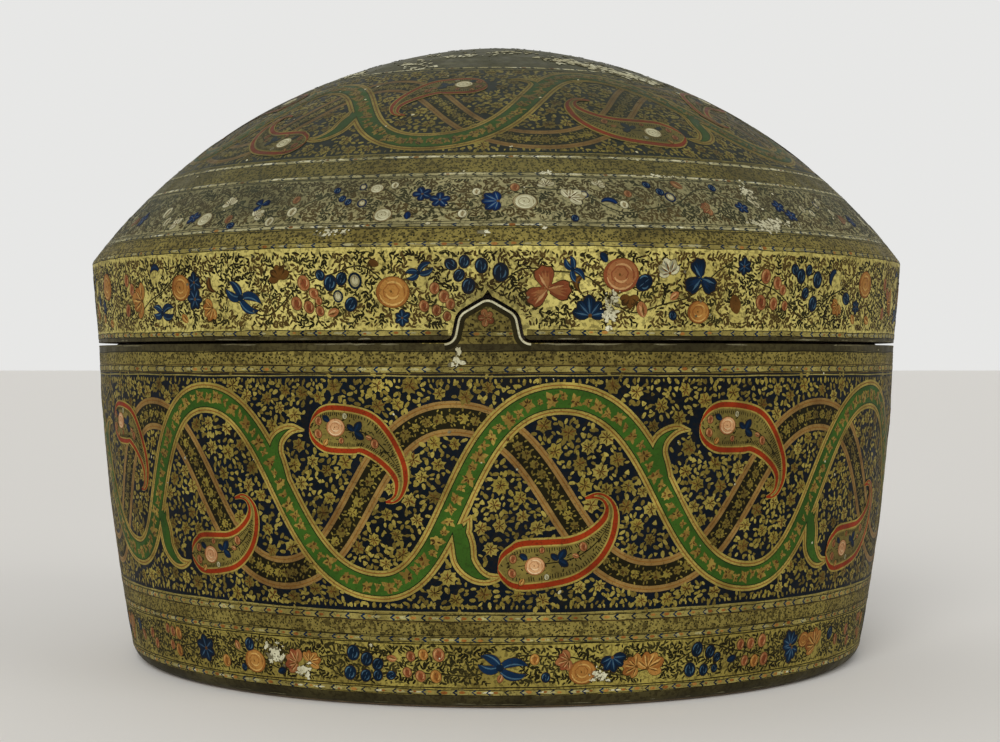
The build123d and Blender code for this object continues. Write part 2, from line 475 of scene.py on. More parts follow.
grounds = {ground: groundPaint(*look) for ground, look in {
    # name, the light, the dark and the worn colour, metal, specks and their scale, and how far it is rubbed
    "rimGold": ("rim_gold_ground", (196, 183, 106), (160, 146, 78), (100, 87, 46), 0.3, 0.5, 950, 0.35),
    "footGold": ("foot_gold_ground", (156, 142, 70), (121, 107, 50), (84, 72, 36), 0.3, 0.5, 950, 0.4),
    "domeGold": ("dome_gold_ground", (163, 155, 110), (130, 122, 82), (88, 83, 58), 0.2, 0.6, 950, 0.5),
    "oldGold": ("old_gold_ground", (134, 121, 62), (97, 85, 41), (62, 54, 29), 0.25, 0.7, 900, 0.6),
    "navy": ("navy_ground", (9, 18, 28), (7, 13, 19), (23, 24, 16), 0.0, 0.3, 700, 0.45),
    "edge": ("worn_edge_ground", (66, 60, 35), (41, 37, 22), (90, 84, 58), 0.1, 0.5, 800, 0.45),
    "crown": ("worn_crown_ground", (88, 84, 52), (54, 50, 31), (124, 121, 92), 0.1, 0.6, 700, 0.8),
}.items()}
grounds["gesso"] = pigments["gesso"][1]
print("paints mixed")


# The two painted coats, spun round the axis, with their grounds as bands
coats = {
    "steps": 360,
    "wallBands": [(4.2, "edge"), (20.0, "footGold"), (27.6, "oldGold"), (93.9, "navy"), (100.2, "oldGold"),
                  (seamZ, "edge")],
    "lidBands": [(rimAt(104.4), "edge"), (0.2, "rimGold"), (6.9, "oldGold"), (27.1, "domeGold"),
                 (36.4, "oldGold"), (92.6, "navy"), (crownRun, "crown")],
    "slots": ["rimGold", "footGold", "domeGold", "oldGold", "navy", "edge", "crown", "gesso"],
}


def finish(mesh, sharp=0.6):
    mesh.polygons.foreach_set("use_smooth", [True] * len(mesh.polygons))
    mesh.set_sharp_from_angle(angle=sharp)


def addPiece(name, mesh, materials, body):
    for material in materials:
        mesh.materials.append(material)
    piece = newObject(name, mesh)
    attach(piece, body)
    return piece


def spinSection(points, angle=2 * math.pi, start=0.0, steps=360):
    # a closed section of (radius, height) turned about the axis, from the azimuth start
    bm = bmesh.new()
    full = abs(angle - 2 * math.pi) < 1e-6
    direction = Vector((math.sin(start), -math.cos(start), 0))
    ring = [bm.verts.new(direction * (r * mm) + Vector((0, 0, z * mm))) for r, z in points]
    onAxis = points[0][0] < 1e-6
    edges = [bm.edges.new((a, b)) for a, b in zip(ring, ring[1:])]
    if not onAxis:
        edges.append(bm.edges.new((ring[-1], ring[0])))
    bmesh.ops.spin(bm, geom=ring + edges, cent=(0, 0, 0), axis=(0, 0, 1), dvec=(0, 0, 0), angle=angle,
                   steps=steps, use_merge=full, use_duplicate=False)
    bmesh.ops.remove_doubles(bm, verts=bm.verts, dist=1e-7)
    if not full:
        bmesh.ops.holes_fill(bm, edges=[e for e in bm.edges if e.is_boundary], sides=0)
    bmesh.ops.recalc_face_normals(bm, faces=bm.faces)
    return bm


def coatSection(surface, low, high, cuts, spacing):
    # outside and inside of a coat between two places on the surface, with a point at each change of ground
    s = surfaces[surface]
    inner = [i for i, v in enumerate(s["at"]) if low < v < high]
    places = sorted(set([low, high] + [float(s["at"][i]) for i in inner]
                        + [c for c in cuts if low < c < high]))
    outside = [(float(np.interp(v, s["at"], s["r"])), float(np.interp(v, s["at"], s["z"]))) for v in places]
    back = places[::-spacing] if places[::-spacing][-1] == low else places[::-spacing] + [low]
    inside = []
    for v in back:
        r, z, outR, outZ = (float(np.interp(v, s["at"], s[k])) for k in ("r", "z", "outR", "outZ"))
        inside.append((max(r - form["coat"] * outR, 0.0), z - form["coat"] * outZ if outZ > 0.2 else z))
    return outside, inside


# The closing tab: half of its width at each height, its rounds, and the point of the notch above it
tab = {
    "offset": -2.4, "strip": 18.0, "foot": 9.4, "footRound": 3.0, "shoulder": 7.8, "shoulderHeight": 7.8,
    "shoulderRound": 4.0, "height": 12.4, "tipRound": 3.5, "peak": 1.2, "peakHalf": 4.5,
    "proud": 0.004,
}


def tabOutline(gap=0.0):
    # the tab seen from the front, about its own middle and the seam, grown by gap: rounded corners as arcs
    side = [(tab["strip"], 0.0, 0), (tab["foot"], 0.0, tab["footRound"]),
            (tab["shoulder"], tab["shoulderHeight"], tab["shoulderRound"])]
    corners = [(-x, z, r) for x, z, r in side] + [(0.0, tab["height"], tab["tipRound"])] + side[::-1]
    points = [Vector(c[:2]) for c in corners]
    runs = [(b - a).normalized() for a, b in zip(points, points[1:])]
    outline = [points[0] + Vector((0, gap))]
    for corner, before, after, (x, z, radius) in zip(points[1:-1], runs, runs[1:], corners[1:-1]):
        turn = math.atan2(before.x * after.y - before.y * after.x, before.dot(after))
        outward = Vector((-before.y - after.y, before.x + after.x)).normalized()
        corner = corner + outward * (gap / math.cos(turn / 2))
        radius = radius + gap if turn < 0 else radius - gap
        reach = radius * math.tan(abs(turn) / 2)
        centre = corner - before * reach + Vector((-before.y, before.x)) * (radius if turn > 0 else -radius)
        spoke = corner - before * reach - centre
        for i in range(9):
            angle = turn * i / 8
            c, s = math.cos(angle), math.sin(angle)
            outline.append(centre + Vector((c * spoke.x - s * spoke.y, s * spoke.x + c * spoke.y)))
    outline.append(points[-1] + Vector((0, gap)))
    return outline


def tabFloor(depth):
    # closes the outline below the seam
    return [Vector((tab["strip"], -depth)), Vector((-tab["strip"], -depth))]


def frontPrism(outline):
    # an outline on the front wall, as a block that runs from inside the box out past the wall
    bm = bmesh.new()
    ring = [bm.verts.new(((tab["offset"] + p[0]) * mm, -100 * mm, (seamZ + p[1]) * mm)) for p in outline]
    face = bm.faces.new(ring)
    block = bmesh.ops.extrude_face_region(bm, geom=[face])
    moved = [g for g in block["geom"] if isinstance(g, bmesh.types.BMVert)]
    bmesh.ops.translate(bm, verts=moved, vec=(0, -60 * mm, 0))
    bmesh.ops.recalc_face_normals(bm, faces=bm.faces)
    return meshOf(bm, "cutter")


def cutWith(bm, cutters, operation):
    # the shell cut by, or kept within, each block in turn
    shell = newObject("shell", meshOf(bm, "shell"))
    helpers = []
    for cutter in cutters:
        helper = newObject("cutter", cutter)
        helpers.append(helper)
        step = shell.modifiers.new("cut", "BOOLEAN")
        step.operation = operation
        step.solver = "EXACT"
        step.object = helper
    cut = bpy.data.meshes.new_from_object(shell.evaluated_get(bpy.context.evaluated_depsgraph_get()))
    for helper in helpers + [shell]:
        bpy.data.objects.remove(helper)
    return cut


def shadeBands(mesh, surface, bands):
    # gives each face on the painted outside the ground of its band, and the cut edges bare gesso
    s = surfaces[surface]
    bare = coats["slots"].index("gesso")
    for face in mesh.polygons:
        x, y, z = face.center / mm
        radius = math.hypot(x, y)
        place = np.interp(z, s["z"], s["at"])
        depth = (np.interp(z, s["z"], s["r"]) - radius) * np.interp(place, s["at"], s["outR"])
        if depth > form["coat"] * 0.4 or abs(face.normal.z) > 0.98 and z < shoulderZ:
            face.material_index = bare
            continue
        name = next((n for limit, n in bands if place <= limit), bands[-1][1])
        face.material_index = coats["slots"].index(name)


def addCoat(name, mesh, surface, bands):
    mesh.name = name
    shadeBands(mesh, surface, bands)
    finish(mesh)
    return addPiece(name, mesh, [grounds[n] for n in coats["slots"]], surfaces[surface]["body"])


def makeCoats():
    outside, inside = coatSection("wall", form["footWear"], seamZ, [b[0] for b in coats["wallBands"]], 6)
    mesh = meshOf(spinSection(outside + inside, steps=coats["steps"]), "box_paint_coat")
    box = addCoat("box_paint_coat", mesh, "wall", coats["wallBands"])
    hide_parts("box_gesso")

    # the tab stands on the seam in the plane of the lid's rim
    low, high = seamZ - 0.2, seamZ + tab["height"] + 1
    depths = (low, -tab["proud"]), (high, -tab["proud"]), (high, form["coat"]), (low, form["coat"])
    section = [(float(wallRadius(z)) - depth, z) for z, depth in depths]
    half = tab["strip"] / form["seamRadius"]
    middle = tab["offset"] / form["seamRadius"]
    bm = spinSection(section, angle=2 * half, start=middle - half, steps=40)
    mesh = cutWith(bm, [frontPrism(tabOutline() + tabFloor(3))], "INTERSECT")
    addCoat("box_tab_coat", mesh, "wall", [(form["sectionTop"], "oldGold")])

    outside, inside = coatSection("lid", rimAt(rimZ), crownRun, [b[0] for b in coats["lidBands"]], 4)
    bm = spinSection(outside[::-1] + inside[::-1], steps=coats["steps"])
    peak = [(-tab["peakHalf"], tab["shoulderHeight"]), (tab["peakHalf"], tab["shoulderHeight"]),
            (0, tab["height"] + form["kerf"] + tab["peak"])]
    notch = tabOutline(form["kerf"]) + tabFloor(9)
    lid = addCoat("lid_paint_coat", cutWith(bm, [frontPrism(notch), frontPrism(peak)], "DIFFERENCE"), "lid",
                  coats["lidBands"])
    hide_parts("lid_gesso")


makeCoats()
print("coats spun")


# Brush marks: low closed dabs that are stamped on the board, and strokes that are drawn on it
stampShapes = {}
bury = 0.03


def stampShape(name, segments, top, middle, outline):
    # an outline, a smaller one or a point raised over it, and a point sunk under it. The outline is a
    # function of a place on the unit circle
    bm = bmesh.new()
    bmesh.ops.create_cone(bm, cap_ends=True, cap_tris=False, segments=segments, radius1=1, radius2=top,
                          depth=2)
    foot = min(bm.faces, key=lambda f: f.calc_center_median().z)
    bmesh.ops.poke(bm, faces=[foot])
    bmesh.ops.triangulate(bm, faces=bm.faces)
    bmesh.ops.recalc_face_normals(bm, faces=bm.faces)
    bm.verts.index_update()
    corners = []
    for v in bm.verts:
        reach = math.hypot(v.co.x, v.co.y)
        x, y = middle
        if reach > 1e-6:
            edge = outline(v.co.x / reach, v.co.y / reach, math.atan2(v.co.x, v.co.y))
            x, y = x + (edge[0] - x) * reach, y + (edge[1] - y) * reach
        level = 2 if v.co.z > 0 else (1 if reach > 0.5 else 0)
        corners.append((x, y, level))
    faces = np.array([[v.index for v in f.verts] for f in bm.faces])
    bm.free()
    stampShapes[name] = (np.array(corners), faces)


def lobed(lobes, depth, wobble, seed):
    offsets = np.random.default_rng(seed).uniform(-wobble, wobble, 64)

    def outline(x, y, angle):
        reach = 1 - depth * (0.5 - 0.5 * math.cos(lobes * angle)) + offsets[int((angle + math.pi) * 10) % 64]
        return x * reach, y * reach
    return outline


def bent(wide, bend, sharp=1.4):
    # a leaf that grows from the origin, narrow at both ends, and bends to one side
    def outline(x, y, angle):
        up = 0.5 + 0.5 * y
        return math.copysign(abs(x) ** sharp, x) * wide + bend * up * up, up
    return outline


stampShape("disc", 14, 0.6, (0, 0), lambda x, y, a: (x, y))
stampShape("round", 22, 0.8, (0, 0), lambda x, y, a: (x, y))
stampShape("bead", 8, 0.5, (0, 0), lambda x, y, a: (x, y))
stampShape("blade", 4, 0.0, (0, 0.45), lambda x, y, a: (0.17 * x, 0.5 + 0.5 * y))
stampShape("curlLeft", 6, 0.0, (0.06, 0.5), bent(0.22, 0.26, 1.0))
stampShape("curlRight", 6, 0.0, (-0.06, 0.5), bent(0.22, -0.26, 1.0))
stampShape("sproutLeft", 7, 0.0, (0.05, 0.5), bent(0.30, 0.2, 0.9))
stampShape("sproutRight", 7, 0.0, (-0.05, 0.5), bent(0.30, -0.2, 0.9))
stampShape("sprout", 5, 0.0, (0, 0.5), lambda x, y, a: (0.34 * x, 0.5 + 0.5 * y))
stampShape("leaf", 12, 0.0, (0, 0.45), bent(0.29, 0.0, 1.35))
stampShape("petal", 12, 0.45, (0, 0.55), lambda x, y, a: (0.36 * x * (1 + 0.3 * y), 0.5 + 0.5 * y))
stampShape("fan", 16, 0.4, (0, 0.55),
           lambda x, y, a: (0.55 * x * (0.75 + 0.35 * y), 0.5 + 0.5 * y * (1 + 0.1 * math.cos(8 * a))))
stampShape("speck", 5, 0.0, (0, 0), lobed(3, 0.3, 0.2, 5))
stampShape("fleck", 6, 0.0, (0, 0), lobed(2, 0.45, 0.25, 9))
stampShape("trefoil", 9, 0.0, (0, 0), lobed(3, 0.45, 0.06, 11))
for number, (lobes, depth) in enumerate(((7, 0.34), (8, 0.3), (6, 0.36), (9, 0.28), (7, 0.4))):
    stampShape(f"rosette{number}", lobes * 3, 0.0, (0, 0), lobed(lobes, depth, 0.1, 20 + number))
stampShape("scallop", 21, 0.5, (0, 0), lobed(7, 0.12, 0.02, 30))
for number in range(5):
    stampShape(f"chip{number}", 13, 0.0, (0, 0), lobed(2 + number, 0.42, 0.26, 40 + number))

# Each pigment and the pieces of brushwork that are painted with it
paintedWith = {
    "gold": "florets floret_leaves floret_stems edge_dashes band_florets",
    "brown": "floret_veins ribbon_veins outlines petal_lines umber loss_edges", "tanGold": "ribbon_flowers",
    "lineGold": "ribbon_gold_outer ribbon_gold_inner boteh_halo boteh_inner",
    "russet": "ribbon_russet band_line", "darkGreen": "ribbon_green_edge", "green": "ribbon_green",
    "pinkGold": "band_outer band_inner",
    "black": "band_dark boteh_hatching line_hairs stems specks tendrils_foot sprays_foot "
             "tendrils_rim sprays_rim tendrils_dome sprays_dome",
    "vermilion": "boteh_red", "straw": "boteh_ground", "paleGold": "line_strips", "blue": "line_ticks blue",
    "orange": "line_blocks orange", "pink": "pink", "peach": "peach", "white": "white", "cream": "cream",
    "clearBlue": "clearBlue", "gesso": "losses worn_edges",
}
pigmentOf = {piece: pigment for pigment, pieces in paintedWith.items() for piece in pieces.split()}
stamps, strokes = {}, {}


def dab(piece, surface, x, y, size, turn=0.0, lift=0.05, shape="disc", wide=1.0, tone=0, crest=0.03):
    key = (surfaces[surface]["body"], piece)
    stamps.setdefault(key, []).append((surface, shape, x, y, size, size * wide, turn, lift, crest, tone))


def stroke(piece, surface, points, width, lift, taper=None, tone=0, crest=0.02):
    # points are places on the surface; a third number, where there is one, is half the width there
    points = np.array(points, float)
    u, v, scale = onBoard(surface, points[:, 0], points[:, 1])
    half = points[:, 2] if points.shape[1] > 2 else np.full(len(points), width / 2)
    if taper:
        half = half * np.interp(np.linspace(0, 1, len(points)), (0, 0.3, 0.7, 1), (taper[0], 1, 1, taper[1]))
    key = (surfaces[surface]["body"], piece)
    strokes.setdefault(key, []).append((surface, np.stack([u, v, half * scale], 1), lift, tone, crest))


def smooth(points, step=1.0):
    # a smooth line through the points, with any further columns carried along
    points = np.array(points, float)
    padded = np.vstack([2 * points[0] - points[1], points, 2 * points[-1] - points[-2]])
    out = []
    for i in range(len(points) - 1):
        a, b, c, d = padded[i:i + 4]
        count = max(2, int(math.ceil(np.linalg.norm((c - b)[:2]) / step)))
        t = (np.arange(count) / count)[:, None]
        out.append(0.5 * (2 * b + (c - a) * t + (2 * a - 5 * b + 4 * c - d) * t ** 2
                          + (3 * b - a - 3 * c + d) * t ** 3))
    out.append(points[-1:])
    return np.vstack(out)


def stampMesh(items):
    parts = []
    for surface in sorted(set(i[0] for i in items)):
        for shape in sorted(set(i[1] for i in items if i[0] == surface)):
            group = np.array([i[2:] for i in items if i[0] == surface and i[1] == shape], float)
            x, y, tall, wide, turn, lift, crest, tone = group.T
            corners, faces = stampShapes[shape]
            u, v, scale = onBoard(surface, x, y)
            c, s = np.cos(turn), np.sin(turn)
            dx = wide[:, None] * corners[None, :, 0]
            dy = tall[:, None] * corners[None, :, 1]
            c, s, scale = c[:, None], s[:, None], scale[:, None]
            boardU = u[:, None] + scale * (c * dx - s * dy)
            boardV = v[:, None] + scale * (s * dx + c * dy)
            level = corners[None, :, 2]
            raised = np.where(level > 0.5, lift[:, None], -bury)
            height = np.where(level > 1.5, (lift + crest)[:, None], raised)
            places = wrap(surface, boardU, boardV, height).reshape(-1, 3)
            tris = (faces[None] + (np.arange(len(group)) * len(corners))[:, None, None]).reshape(-1, 3)
            parts.append((places, tris, np.repeat(tone.astype(int), len(faces))))
    return parts


def numbersOf(group, key, width, kind=float):
    values = np.empty(len(group) * width, kind)
    group.foreach_get(key, values)
    return values.reshape(-1, width)


def strokeMesh(items):
    # every stroke is a curve with a low four-sided section, made a mesh and wrapped on the surface
    parts = []
    most = 1 + max((i[3] for i in items), default=0)
    for surface, lift, crest in sorted(set((i[0], i[2], i[4]) for i in items)):
        group = [i for i in items if (i[0], i[2], i[4]) == (surface, lift, crest)]
        curve = bpy.data.curves.new("brush", "CURVE")
        curve.dimensions = "3D"
        curve.twist_mode = "Z_UP"
        curve.bevel_depth = 1.0
        curve.bevel_resolution = 0
        curve.use_fill_caps = True
        for _ in range(most):
            curve.materials.append(None)
        for _, points, _, tone, _ in group:
            spline = curve.splines.new("POLY")
            spline.points.add(len(points) - 1)
            flat = np.zeros((len(points), 4))
            flat[:, :2] = points[:, :2]
            flat[:, 3] = 1
            spline.points.foreach_set("co", flat.ravel())
            spline.points.foreach_set("radius", np.maximum(points[:, 2], 0.01))
            spline.material_index = tone
        brush = newObject("brush", curve)
        mesh = bpy.data.meshes.new_from_object(brush.evaluated_get(bpy.context.evaluated_depsgraph_get()))
        mesh.calc_loop_triangles()
        x, y, z = numbersOf(mesh.vertices, "co", 3).T
        tris = numbersOf(mesh.loop_triangles, "vertices", 3, int)
        faceOf = numbersOf(mesh.loop_triangles, "polygon_index", 1, int)[:, 0]
        tone = numbersOf(mesh.polygons, "material_index", 1, int)[:, 0]
        height = np.where(z > 0.002, lift + crest, np.where(z < -0.002, -bury, lift))
        parts.append((wrap(surface, x, y, height), tris, tone[faceOf]))
        bpy.data.objects.remove(brush)
        bpy.data.meshes.remove(mesh)
    return parts


def makeBrushwork():
    for key in sorted(set(stamps) | set(strokes)):
        parts = stampMesh(stamps.get(key, [])) + strokeMesh(strokes.get(key, []))
        start = np.cumsum([0] + [len(p[0]) for p in parts])
        places = np.vstack([p[0] for p in parts])
        tris = np.vstack([p[1] + s for p, s in zip(parts, start)])
        tone = np.concatenate([p[2] for p in parts])
        body, piece = key
        name = f"{body}_{piece}"
        mesh = bpy.data.meshes.new(name)
        mesh.vertices.add(len(places))
        mesh.vertices.foreach_set("co", places.ravel())
        mesh.loops.add(tris.size)
        mesh.loops.foreach_set("vertex_index", tris.ravel())
        mesh.polygons.add(len(tris))
        mesh.polygons.foreach_set("loop_start", np.arange(0, tris.size, 3))
        mesh.polygons.foreach_set("material_index", tone)
        mesh.update(calc_edges=True)
        mesh.validate()
        finish(mesh)
        addPiece(name, mesh, pigments[pigmentOf[piece]], body)
        print(name, len(tris))


# Chevron lines that part the bands: place, height, and the share of chevrons with an orange block.
# The rest are thin plain lines beside the bands: surface, place, piece, height and tone
lines = {
    "pitch": 4.5,
    "wall": [(5.1, 1.3, 0.8), (20.1, 1.2, 0.7), (26.2, 1.5, 0.8), (95.1, 1.4, 0.25)],
    "lid": [(rimAt(105.1), 1.2, 0.3), (0.2, 1.1, 0.2), (6.9, 0.9, 0.1), (27.1, 1.0, 0.1), (35.0, 1.1, 0.1),
            (95.0, 1.1, 0.1)],
    "lift": 0.05,
    "notchHalf": 10.6,
    "plain": [("wall", 94.0, "line_hairs", 0.22, 2), ("wall", 96.3, "line_hairs", 0.22, 2),
              ("wall", 27.7, "line_strips", 0.45, 0), ("wall", 25.1, "line_hairs", 0.2, 2),
              ("wall", 21.2, "line_hairs", 0.2, 0), ("wall", 18.9, "line_hairs", 0.3, 0),
              ("wall", 6.5, "line_hairs", 0.3, 0), ("wall", 100.1, "line_hairs", 0.3, 0),
              ("wall", 93.3, "line_strips", 0.35, 0), ("lid", 25.9, "line_hairs", 0.25, 0),
              ("lid", 8.1, "line_hairs", 0.25, 0), ("lid", 36.7, "line_strips", 0.45, 0),
              ("lid", 92.4, "line_strips", 0.4, 0), ("lid", 5.7, "line_hairs", 0.25, 0)],
}


def ringOf(piece, surface, y, height, lift, fromX=0.0, toX=girth, tone=0):
    # a strip round the box, or part of the way round it, that wavers a little as a brush does
    xs = np.linspace(fromX, toX, max(8, int((toX - fromX) / 2.6)))
    waves11, waves37, waves83 = (xs / girth * 2 * math.pi * n for n in (11, 37, 83))
    waver = 0.10 * np.sin(waves11 + y) + 0.06 * np.sin(waves37 + 2 * y)
    half = height / 2 * (1 + 0.10 * np.sin(waves83 + 3 * y))
    stroke(piece, surface, np.stack([xs, y + waver, half], 1), height, lift, tone=tone, crest=0.012)


def chevronLine(surface, y, height, blocks, fromX=0.0, toX=girth):
    lift = lines["lift"]
    ringOf("line_hairs", surface, y, height + 0.45, lift - 0.02, fromX, toX)
    # on the dome the strip takes the pale tone that holds a painted highlight
    ringOf("line_strips", surface, y, height, lift, fromX, toX, 2 if surface == "lid" and y > 5 else 0)
    pitch = lines["pitch"]
    count = int((toX - fromX) / (pitch * boardScale(surface, y)))
    for i in range(count):
        x = fromX + (i + 0.5 + rng.uniform(-0.1, 0.1)) * (toX - fromX) / count
        arm = height * 0.5
        tick = around(surface, x, y, [(0.7, arm), (-0.35, rng.uniform(-0.1, 0.1)), (0.7, -arm)])
        stroke("line_ticks", surface, tick, rng.uniform(0.4, 0.65), lift + 0.03, tone=pick(2))
        if chance(blocks):
            place = beside(surface, x, y, pitch * rng.uniform(0.32, 0.5), rng.uniform(-0.15, 0.15))
            dab("line_blocks", surface, *place, rng.uniform(0.5, 1.0), math.pi / 2, lift + 0.03, "bead",
                wide=0.5, tone=pick(2))
        if chance(0.35):
            place = beside(surface, x, y, pitch * rng.uniform(0.2, 0.8), rng.uniform(-0.3, 0.3))
            dab("line_hairs", surface, *place, rng.uniform(0.2, 0.6), math.pi / 2, lift + 0.02, "fleck",
                wide=0.5, tone=2)
        # pale dabs of worn paint; on the lid they take the pale tone with a painted highlight
        if chance(0.2 if surface == "wall" else 0.45):
            place = beside(surface, x, y, pitch * rng.uniform(0.1, 0.9), 0)
            dab("line_strips", surface, *place, rng.uniform(0.8, 1.8), math.pi / 2, lift + 0.015, "bead",
                wide=0.25 * height / 1.2, tone=2 if surface == "lid" else 1)


def makeLines():
    for line in lines["wall"]:
        chevronLine("wall", *line)
    # the lowest line of the lid stops at the notch
    right, left = tab["offset"] + lines["notchHalf"], tab["offset"] - lines["notchHalf"] + girth
    chevronLine("lid", *lines["lid"][0], right, left)
    for line in lines["lid"][1:]:
        chevronLine("lid", *line)
    for surface, y, piece, height, tone in lines["plain"]:
        ringOf(piece, surface, y, height, lines["lift"], tone=tone)


makeLines()


# The waving ribbon, its hooks and the band that passes behind it. The dome has the same frieze, mirrored
waves = {
    "wall": {
        "mirror": 1,
        "peaks": [(-90.2, 86.9), (17.8, 87.2), (137.5, 87.2), (262.5, 86.6), (388.0, 87.0), (513.0, 86.6),
                  (638.0, 87.0)],
        "troughs": [(-33.5, 34.8), (79.8, 35.6), (199.0, 35.0), (324.5, 35.5), (450.0, 35.0), (575.5, 35.5),
                    (688.5, 39.0)],
        "bandHigh": 81.8, "bandLow": 37.4, "bandHighShift": -4.0, "bandLowShift": -3.2,
        "high": [(-45.7, 79.2, 1.0, 1.0), (66.9, 79.4, 1.14, 1.02), (186.7, 79.2, 1.1, 1.0),
                 (312.0, 79.0, 1.1, 1.0), (437.6, 79.2, 1.1, 1.0), (563.0, 79.0, 1.1, 1.0),
                 (681.9, 79.2, 0.92, 1.0)],
        "low": [(10.1, 41.2, 1.17, 1.1), (125.1, 40.8, 1.17, 1.08), (242.0, 41.0, 1.15, 1.05),
                (367.5, 41.0, 1.15, 1.05), (493.0, 41.0, 1.15, 1.05), (618.5, 41.0, 1.1, 1.05),
                (730.2, 41.4, 1.0, 1.0)],
        "hookHigh": 68.0, "hookHighStretch": (1.0, 1.0), "hookLow": 50.0, "hookLowStretch": (1.0, 1.0),
    },
    "lid": {
        "mirror": -1,
        "peaks": [(-98.5, 81.5), (50.0, 87.2), (185.0, 85.0), (320.0, 84.0), (454.8, 85.0), (589.6, 84.5)],
        "troughs": [(-26.0, 42.6), (127.0, 43.2), (252.4, 43.0), (387.4, 43.0), (522.2, 43.0),
                    (683.0, 45.5)],
        "bandHigh": 79.8, "bandLow": 43.5, "bandHighShift": 5.0, "bandLowShift": 3.4,
        "high": [(-15.9, 78.4, 0.87, 1.0), (137.0, 78.0, 0.95, 1.0), (262.0, 78.0, 0.9, 1.0),
                 (397.5, 78.0, 0.9, 1.0), (532.0, 78.0, 0.9, 1.0), (693.0, 77.0, 0.9, 1.0)],
        "low": [(62.7, 49.2, 1.25, 1.08), (190.4, 48.0, 1.15, 1.0), (325.3, 48.0, 1.15, 1.0),
                (460.2, 48.0, 1.15, 1.0), (621.0, 48.0, 1.15, 1.0), (737.9, 45.8, 1.0, 1.0)],
        "hookHigh": 76.0, "hookHighStretch": (0.9, 0.66), "hookLow": 59.0, "hookLowStretch": (0.85, 1.0),
    },
}
ribbon = {
    # width of each layer from the bottom up, and how far it lies off the ground
    "layers": [("ribbon_gold_outer", 8.9, 0.07), ("ribbon_russet", 7.6, 0.09),
               ("ribbon_gold_inner", 6.95, 0.11), ("ribbon_green_edge", 5.7, 0.13),
               ("ribbon_green", 5.2, 0.15)],
    # reach of the curve's handles, on the way down from a peak and on the way up from a trough
    "down": (0.50, 0.54), "up": (0.46, 0.58),
    "flowerPitch": 3.3, "flowerLift": 0.19,
    "hookHigh": [(3.7, -6.0, 3.7), (2.4, -0.6, 3.6), (1.4, 3.8, 3.3), (2.4, 7.2, 2.8), (4.8, 9.4, 2.2),
                 (7.8, 10.5, 1.5), (11.6, 10.1, 0.3)],
    "cuspHigh": [(5.0, -5.6, 2.6), (6.9, -8.4, 1.9), (8.3, -9.9, 0.9), (9.2, -10.9, 0.3)],
    "hookLow": [(4.3, 2.5, 3.2), (5.7, -3.0, 3.8), (6.4, -7.6, 3.6), (9.1, -11.0, 2.9), (12.3, -12.5, 2.0),
                (15.4, -12.3, 1.2), (18.0, -11.4, 0.3)],
    "cuspLow": [(5.4, -1.0, 2.8), (6.9, 2.4, 1.9), (7.8, 4.0, 0.9), (8.3, 5.2, 0.3)],
}
band = {
    "layers": [("band_outer", 9.5, 0.02), ("band_line", 8.1, 0.025), ("band_inner", 7.5, 0.03),
               ("band_dark", 5.8, 0.035)],
    "floretPitch": 3.4,
    "leafReach": 2.3,
}


def extremes(peaks, troughs):
    points = sorted([(x, y, True) for x, y in peaks] + [(x, y, False) for x, y in troughs])
    first = points[0]
    return points + [(first[0] + girth, first[1], first[2])]


def waveLine(points, down, up, step=2.0):
    # level at every peak and trough. Down and up are the reach of the handles at both ends of a run
    out = []
    for (ax, ay, aPeak), (bx, by, bPeak) in zip(points, points[1:]):
        run = bx - ax
        handleA, handleB = (run * reach for reach in (down if aPeak else up))
        count = int(math.hypot(run, by - ay) / step)
        t = np.arange(count) / count
        xs = ((1 - t) ** 3 * ax + 3 * (1 - t) ** 2 * t * (ax + handleA)
              + 3 * (1 - t) * t ** 2 * (bx - handleB) + t ** 3 * bx)
        ys = (1 - t) ** 2 * (1 + 2 * t) * ay + t ** 2 * (3 - 2 * t) * by
        out.append(np.stack([xs, ys], 1))
    out.append(np.array([[points[-1][0], points[-1][1]]]))
    return np.vstack(out)


kept = {"wall": [], "lid": []}  # paths, with half their width, that the gold flowers keep off


def layered(surface, points, layers, widest):
    # the same stroke once for each layer, drawn in by the border that the layer leaves
    for piece, width, lift in layers:
        path = np.array(points, float)
        if path.shape[1] > 2:
            path[:, 2] = np.maximum(path[:, 2] - (widest - width) / 2, 0.02)
            if path[:, 2].max() < 0.15:
                continue
        stroke(piece, surface, path, width, lift, crest=0.012)


def crossingX(spine, low, high, y):
    # where the ribbon passes height y between two places along it
    part = spine[(spine[:, 0] >= low) & (spine[:, 0] <= high)]
    part = part[np.argsort(part[:, 1])]
    return float(np.interp(y, part[:, 1], part[:, 0]))


